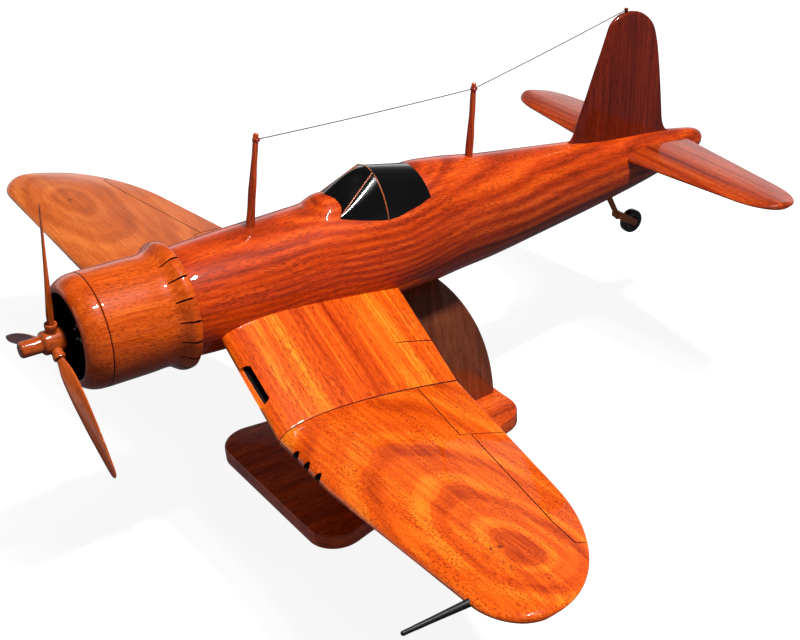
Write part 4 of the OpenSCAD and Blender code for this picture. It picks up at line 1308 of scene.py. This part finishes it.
def fin_mesh():
    zs = list(np.arange(FIN_BASE, 34, 0.8)) + list(np.arange(34, FIN_TAPER_Z, 3))
    zs += [FIN_TAPER_Z + (FIN_TOP - FIN_TAPER_Z) * math.sin(a) for a in np.linspace(0, math.pi / 2, 44)]
    rings = []
    for z in zs:
        a, b, thick = fin_edges(z)
        rings.append([(across, a + along, z) for along, across in foil(b - a, thick, 0.5)])
    return loft(rings, 55)


new_object("fin_board", fin_mesh(), FIN_WOOD, "fin")

PIN_FOOT_Z = FIN_TOP - 2.4
pin_profile = [
    (0, PIN_FOOT_Z), (0.9, PIN_FOOT_Z), (0.9, 91.6), (1.12, 91.9), (1.15, 92.4), (0.95, 92.8), (0.5, 92.9),
    (0, 92.9),
]
pin_mesh = lathe(pin_profile, segments=32, axis="Z", sharp_deg=60)
pin_mesh.transform(shift(0, PIN_Y, 0))
new_object("fin_pin_turned", pin_mesh, FIN_WOOD, "fin_pin")

# ---------- Masts and aerial ----------

MASTS = {"front": ((102.1, 21), (109.0, 73.4)), "rear": ((231.1, 21), (234.5, 71.6))}
BEAD_R, BEAD_DROP, TURN_R = 1.7, 2.4, 0.2


def mast_mesh(foot, top, phase):
    """A hand-shaped post: tapered, a little uneven, with a rounded top."""
    path, radii = [], []
    for k in range(41):
        t = k / 40
        wobble = 0.12 * math.sin(9 * t + phase) + 0.07 * math.sin(23 * t + 2 * phase)
        path.append(Vector((wobble, mix(foot[0], top[0], t), mix(foot[1], top[1], t))))
        radii.append(mix(2.4, 1.25, t) * (1 + 0.05 * math.sin(14 * t + phase)))
    last = path[-1]
    for k in range(1, 6):
        a = math.pi / 2 * k / 6
        path.append(last + Vector((0, 0.06 * math.sin(a), 0.75 * math.sin(a))))
        radii.append(radii[40] * math.cos(a))
    return loft(tube_rings(path, radii, 32, flat=1.0, up=Vector((1, 0, 0))), 60)


for name, (foot, top) in MASTS.items():
    new_object(
        f"mast_{name}_post", mast_mesh(foot, top, 0.4 if name == "front" else 1.9), MAST_WOOD,
        f"mast_{name}",
    )


def bead_mesh(y, z):
    """A drop of lacquer on the mast's top with three turns of thread round it."""
    profile = []
    for a in np.linspace(math.pi, 0, 17):
        profile.append((BEAD_R * 0.96 * math.sin(a) * (1 + 0.05 * math.cos(3 * a)), BEAD_R * math.cos(a)))
    profile[0], profile[-1] = (0, -BEAD_R), (0, BEAD_R)
    parts = [lathe(profile, segments=32, axis="Z", sharp_deg=70)]
    for k in range(3):
        height = -0.45 + 0.42 * k
        r = math.sqrt(BEAD_R ** 2 - height ** 2)
        ring = [(r + TURN_R * math.cos(a), height + TURN_R * math.sin(a)) for a in full_turn(8)]
        parts.append(lathe(ring, segments=32, axis="Z", closed=True, sharp_deg=70))
    mesh = join_meshes(parts, 70)
    mesh.transform(shift(0, y, z))
    return mesh


beads = [bead_mesh(top[0], top[1] - BEAD_DROP) for foot, top in MASTS.values()]
new_object("mast_beads_lacquered", join_meshes(beads, 70), BEAD_RED, "mast_beads")

THREAD_R, THREAD_SAG, SPAN_STEPS = 0.24, 0.004, 20
THREAD_ENDS = [(top[0], top[1] - BEAD_DROP) for foot, top in MASTS.values()] + [(PIN_Y, 91.9)]


def thread_points():
    """The aerial's centreline [y, z], with a slight sag in each span."""
    points = []
    for (y0, z0), (y1, z1) in zip(THREAD_ENDS, THREAD_ENDS[1:]):
        sag = THREAD_SAG * (y1 - y0)
        for k in range(SPAN_STEPS):
            t = k / SPAN_STEPS
            points.append((mix(y0, y1, t), mix(z0, z1, t) - sag * 4 * t * (1 - t)))
    points.append(THREAD_ENDS[-1])
    return points


def thread_piece():
    line = thread_points()
    curve = bpy.data.curves.new("aerial_thread", "CURVE")
    curve.dimensions = "3D"
    curve.bevel_depth = THREAD_R * MM
    curve.bevel_resolution = 3
    strand = curve.splines.new("POLY")
    strand.points.add(len(line) - 1)
    for point, (y, z) in zip(strand.points, line):
        point.co = (0, y * MM, z * MM, 1)
    curve.transform(FLIGHT)
    piece = add_object("aerial_thread", curve)
    curve.materials.append(THREAD)
    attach(piece, "airframe")
    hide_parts("antenna_thread")
    start = FLIGHT @ Vector((0, line[0][0] * MM, line[0][1] * MM))


thread_piece()

# ---------- Tail wheel ----------

WHEEL_Y, WHEEL_Z, WHEEL_R, WHEEL_W, RIM_R = 349.0, -34.6, 6.8, 4.6, 3.2
WHEEL = FLIGHT @ shift(0, WHEEL_Y, WHEEL_Z)
STRUT_ROOT, STRUT_KNEE = Vector((0, 328, -10)), Vector((0, 338.5, -29.2))

tyre_side = [(WHEEL_R, -0.9), (WHEEL_R - 0.2, -WHEEL_W / 2), (RIM_R + 0.9, -WHEEL_W / 2), (RIM_R, -1.9)]
tyre_outline = [(r, x) for r, x in reversed(tyre_side)] + [(r, -x) for r, x in tyre_side]
tyre_profile = rounded(tyre_outline, [0.2, 0.6, 1.6, 1.2, 1.2, 1.6, 0.6, 0.2], 6, True)
new_object(
    "tail_tyre_moulded", lathe(tyre_profile, segments=96, closed=True, axis="X", sharp_deg=50),
    TYRE_BLACK, "tail_tyre", "tail_wheel", WHEEL,
)
hub_side = [(0.95, 1.5), (1.7, 1.5), (1.8, 1.2), (2.3, 1.0), (2.7, 1.35), (2.9, 1.9), (RIM_R, 2.0)]
hub_profile = [(r, -x) for r, x in hub_side] + [(r, x) for r, x in reversed(hub_side)]
new_object(
    "tail_wheel_hub_turned", lathe(hub_profile, segments=72, closed=True, axis="X", sharp_deg=50),
    FIN_WOOD, "tail_wheel_hub", "tail_wheel", WHEEL,
)


def fork_mesh():
    """Two thin cheeks with a bridge over the tyre."""
    low, high = (WHEEL_Y, WHEEL_Z, 1.9), (STRUT_KNEE.y + 1, STRUT_KNEE.z + 0.5, 2.3)
    lean = math.atan2(high[1] - low[1], high[0] - low[0])
    parts = []
    for side in (-1, 1):
        rings = []
        for x, inset in ((2.9, 0.18), (3.0, 0.0), (3.6, 0.0), (3.75, 0.2)):
            ring = []
            for (y, z, r), start in ((high, lean - math.pi / 2), (low, lean + math.pi / 2)):
                for a in np.linspace(start, start + math.pi, 17):
                    ring.append((side * x, y + (r - inset) * math.cos(a), z + (r - inset) * math.sin(a)))
            rings.append(ring)
        parts.append(loft(rings, 45))
    path = []
    for x in np.linspace(-3.4, 3.4, 15):
        drop, rise = 0.3 * math.cos(x / 3.4), 0.9 * math.cos(x / 2.4)
        path.append((x, STRUT_KNEE.y + 0.2 - drop, STRUT_KNEE.z + 1.4 + rise))
    parts.append(loft(tube_rings(path, 1.35, 20, flat=0.62), 50))
    return join_meshes(parts, 45)


new_object("tail_fork_cheeks", fork_mesh(), BRONZE, "tail_fork")
strut_steps = np.linspace(0, 1.03, 16)
strut_path = [STRUT_ROOT.lerp(STRUT_KNEE, t) for t in strut_steps]
# The leg tapers, with a small swelling at the knee.
strut_radii = [1.8 - 0.3 * t + 0.5 * max(0, 1 - abs(t - 0.98) / 0.09) for t in strut_steps]
new_object(
    "tail_strut_tapered", loft(tube_rings(strut_path, strut_radii, 28, up=Vector((1, 0, 0))), 60), BRONZE,
    "tail_strut",
)

# ---------- Propeller ----------

HUB_NOSE, HUB_R, BOSS_R = -15.4, 3.9, 5.6
hub_line = rounded([
    (0, HUB_NOSE), (HUB_R - 0.1, HUB_NOSE), (HUB_R, -5.4), (BOSS_R, -4.6), (BOSS_R + 0.05, 0), (BOSS_R, 4.6),
    (HUB_R - 0.3, 5.4), (3.3, 9.4), (0, 9.4),
], [0, 1.3, 1.2, 1.5, 0, 1.5, 1.0, 0.5, 0], 6)
hub = new_object(
    "propeller_hub_turned", lathe(hub_line, segments=96, sharp_deg=50), HUB_WOOD,
    "propeller_hub", "propeller",
)
# The faces behind the boss get the engine's black.
NECK_Y, NECK_REACH = 7.4, 2.2
paint_near(hub, "Y", NECK_Y, NECK_REACH, ENGINE_BLACK)

BLADES, BLADE_START, BLADE_TAPER = 3, 83.9, 63
# Blade stations: distance out, chord, thickness, angle to the disc.
BLADE = [
    [8.0, 3.4, 3.4, 60], [10, 3.8, 3.2, 57], [13, 4.9, 2.8, 52], [17, 6.6, 2.4, 45], [24, 8, 2.1, 36],
    [33, 8.6, 1.9, 30], [44, 8.2, 1.7, 25], [55, 6.9, 1.5, 21.5], [63, 5.3, 1.3, 20], [68, 4.0, 1.1, 19],
    [69.8, 2.7, 0.9, 18.7],
    [70.6, 1.0, 0.5, 18.5],
]


def blade_mesh():
    chord, thick, angle = spline(BLADE, 1), spline(BLADE, 2), spline(BLADE, 3)
    outs = list(np.linspace(BLADE[0][0], BLADE_TAPER, 48))
    tip = BLADE[-1][0] - BLADE_TAPER
    outs += [BLADE_TAPER + tip * math.sin(a) for a in np.linspace(0.05, math.pi / 2, 24)]
    rings = []
    for out in outs:
        c, t, turn = chord(out), thick(out), math.radians(angle(out))
        cos_turn, sin_turn = math.cos(turn), math.sin(turn)
        ring = []
        for a in full_turn(40):
            # A lens section: flatter behind, with a fuller front face.
            u = c / 2 * math.cos(a)
            v = t / 2 * math.sin(a) * (1.0 if math.sin(a) > 0 else 0.8)
            ring.append((u * cos_turn + v * sin_turn, v * cos_turn - u * sin_turn, out))
        rings.append(ring)
    return loft(rings, 60)


def collar_mesh():
    """A sleeve at a blade's root, with a raised rim and a bore."""
    profile = rounded([
        (1.75, 4.8), (2.75, 4.8), (2.75, 7.6), (2.95, 7.8), (2.95, 9.4), (2.3, 9.6), (1.75, 9.3),
    ], 0.22, 3, True)
    return lathe(profile, segments=48, axis="Z", closed=True, sharp_deg=50)


collars = []
for i in range(BLADES):
    turn = Matrix.Rotation(math.radians(90 - BLADE_START - i * 360 / BLADES), 4, "Y")
    carved = wood(
        f"propeller_blade_mahogany_{i + 1}", *PROPELLER_TONES, "z", 15 + i, heart=(12, 9), pitch=2.2,
        local=FLIGHT @ turn, **SMALL,
    )
    new_object(
        f"propeller_blade_{i + 1}_carved", blade_mesh(), carved,
        f"propeller_blade_{i + 1}", "propeller", FLIGHT @ turn,
    )
    collar = collar_mesh()
    collar.transform(turn)
    collars.append(collar)
new_object(
    "blade_collars_turned", join_meshes(collars, 50), HUB_WOOD, "blade_ferrules",
    "propeller",
)

# ---------- CAD nodes that stay, with their finishes ----------

CAD_FINISH = {
    "stand_screws": STEEL, "stand_pegs": BRASS, "engine_plate": ENGINE_BLACK, "shaft_bush": ENGINE_BLACK,
    "wing_root_dowels": MAST_WOOD, "wing_fold_dowels": MAST_WOOD, "fin_dowels": MAST_WOOD,
    "stabilizer_dowels": MAST_WOOD, "intake_insert_port": HOLE_BLACK_AND_SHADE, "intake_insert_starboard": HOLE_BLACK_AND_SHADE,
    "gun_port_plugs_port": SATIN_BLACK, "gun_port_plugs_starboard": SATIN_BLACK, "tail_axle": STEEL,
    "propeller_shaft": ENGINE_BLACK, "shaft_collar": ENGINE_BLACK,
}
for node_name, material in CAD_FINISH.items():
    mesh = frame["nodes"][node_name].data
    mesh.materials.clear()
    mesh.materials.append(material)

# ---------- Floor, light and camera ----------

ROOM = 6000.0


def mottle(shader, scale, detail, low, high):
    """Two close greys in soft patches."""
    patches = {"Vector": shader.node("TexCoord", {}, "Object"), "Scale": scale, "Detail": detail}
    return shader.ramp(shader.node("TexNoise", patches), [(0.3, grey(low)), (0.7, grey(high))])


def studio_piece(name, material, circles, cap):
    """A part of the studio, through circles of [radius, height]."""
    rings = [[(r * math.cos(a), r * math.sin(a), z) for a in full_turn(96)] for r, z in circles]
    obj = add_object(name, loft(rings, 0, cap))
    obj.data.materials.append(material)
    return obj


pale = Shader("pale_floor")
pale.set(
    Base_Color=mottle(pale, 6.0, 2.0, 0.29, 0.31), Roughness=0.85, Specular_IOR_Level=0.1,
    Emission_Color=(1, 1, 1), Emission_Strength=0.89,
)
floor = studio_piece("floor", pale.material, ((20, 0), (500, 0), (ROOM, 0)), (True, False))
# The lacquer reflects the studio's dim lower half and not the floor's white.
floor.visible_glossy = False
floor.visible_diffuse = False

# A pale wall far behind the floor, seen only directly, so that it leaves the light as it is.
pale = Shader("pale_wall")
pale.set(
    Base_Color=(0, 0, 0), Roughness=1.0, Specular_IOR_Level=0.0, Emission_Strength=1.0,
    Emission_Color=mottle(pale, 0.4, 1.0, 0.90, 0.93),
)
wall = studio_piece("wall", pale.material, ((ROOM, 0), (ROOM, ROOM)), (False, True))
for kind in ("glossy", "diffuse", "transmission", "volume_scatter", "shadow"):
    setattr(wall, "visible_" + kind, False)

# The studio's light from straight down (0), through the horizon (0.5), to straight up (1).
UNDER = [(0.0, (0.05, 0.055, 0.065)), (0.46, (0.13, 0.145, 0.17))]
ROOM_SIDE = [(0.5, (0.11, 0.12, 0.135)), (0.6, grey(0.07)), (1.0, grey(0.05))]
PAPER_SIDE = [(0.5, grey(0.9)), (0.57, grey(0.8)), (0.65, grey(0.22)), (0.75, grey(0.08)), (1.0, grey(0.05))]
world = bpy.data.worlds.new("studio")
bpy.context.scene.world = world
sky = Nodes(world)
across, _, height = sky.split(sky.node("TexCoord", {}, "Generated"))
height = sky.remap(height, -1, 1)
room, paper = sky.ramp(height, UNDER + ROOM_SIDE), sky.ramp(height, UNDER + PAPER_SIDE)
# The white paper behind the model stands on the starboard side, away from the camera.
glow = sky.node("Background", {"Color": sky.blend(sky.remap(across, 0.25, -0.45), room, paper)})
sky.node("OutputWorld", {"Surface": glow})

TARGET = Vector((0, 0, 0.11))


def area_light(name, direction, distance, size, power, in_reflections):
    """A rectangular lamp that looks at the model from a direction."""
    light = bpy.data.lights.new(name, "AREA")
    light.shape = "RECTANGLE"
    light.size, light.size_y = size
    light.energy = power
    obj = add_object(name, light)
    obj.visible_glossy = in_reflections
    obj.location = TARGET + Vector(direction).normalized() * distance
    obj.rotation_mode = "QUATERNION"
    obj.rotation_quaternion = (TARGET - obj.location).to_track_quat("-Z", "Y")


area_light("key_window", (0.38, 0.165, 0.9), 1.5, (0.13, 0.11), 27, True)
area_light("key_window_second_pane", (0.40, 0.02, 0.92), 1.5, (0.14, 0.08), 4, True)
area_light("top_softbox", (0.1, 0.0, 1.0), 1.6, (1.0, 1.0), 2.4, False)
area_light("side_fill", (1.0, -0.6, 0.6), 1.8, (0.8, 0.8), 1.4, False)

CAMERA_AT = Vector((566.7, -196.0, 325.7)) * MM
AZIMUTH, ELEVATION, ROLL = (math.radians(a) for a in (55.784, 28.188, -0.563))
SENSOR, LENS, SHIFT = 36.0, 66.8241, (-0.00235, -0.01615)

back = Vector((
    math.sin(AZIMUTH) * math.cos(ELEVATION), -math.cos(AZIMUTH) * math.cos(ELEVATION), math.sin(ELEVATION),
))
right = Vector((math.cos(AZIMUTH), math.sin(AZIMUTH), 0))
up = back.cross(right)
cos_roll, sin_roll = math.cos(ROLL), math.sin(ROLL)
right, up = cos_roll * right + sin_roll * up, cos_roll * up - sin_roll * right
turn = Matrix((right, up, back)).transposed().to_4x4()
camera = add_object("camera", bpy.data.cameras.new("camera"))
camera.matrix_world = FLIGHT @ Matrix.Translation(CAMERA_AT) @ turn
camera.data.sensor_width = SENSOR
camera.data.lens = LENS
camera.data.shift_x, camera.data.shift_y = SHIFT
camera.data.clip_start, camera.data.clip_end = 0.05, 30
bpy.context.scene.camera = camera
bpy.context.scene.view_settings.view_transform = "Standard"
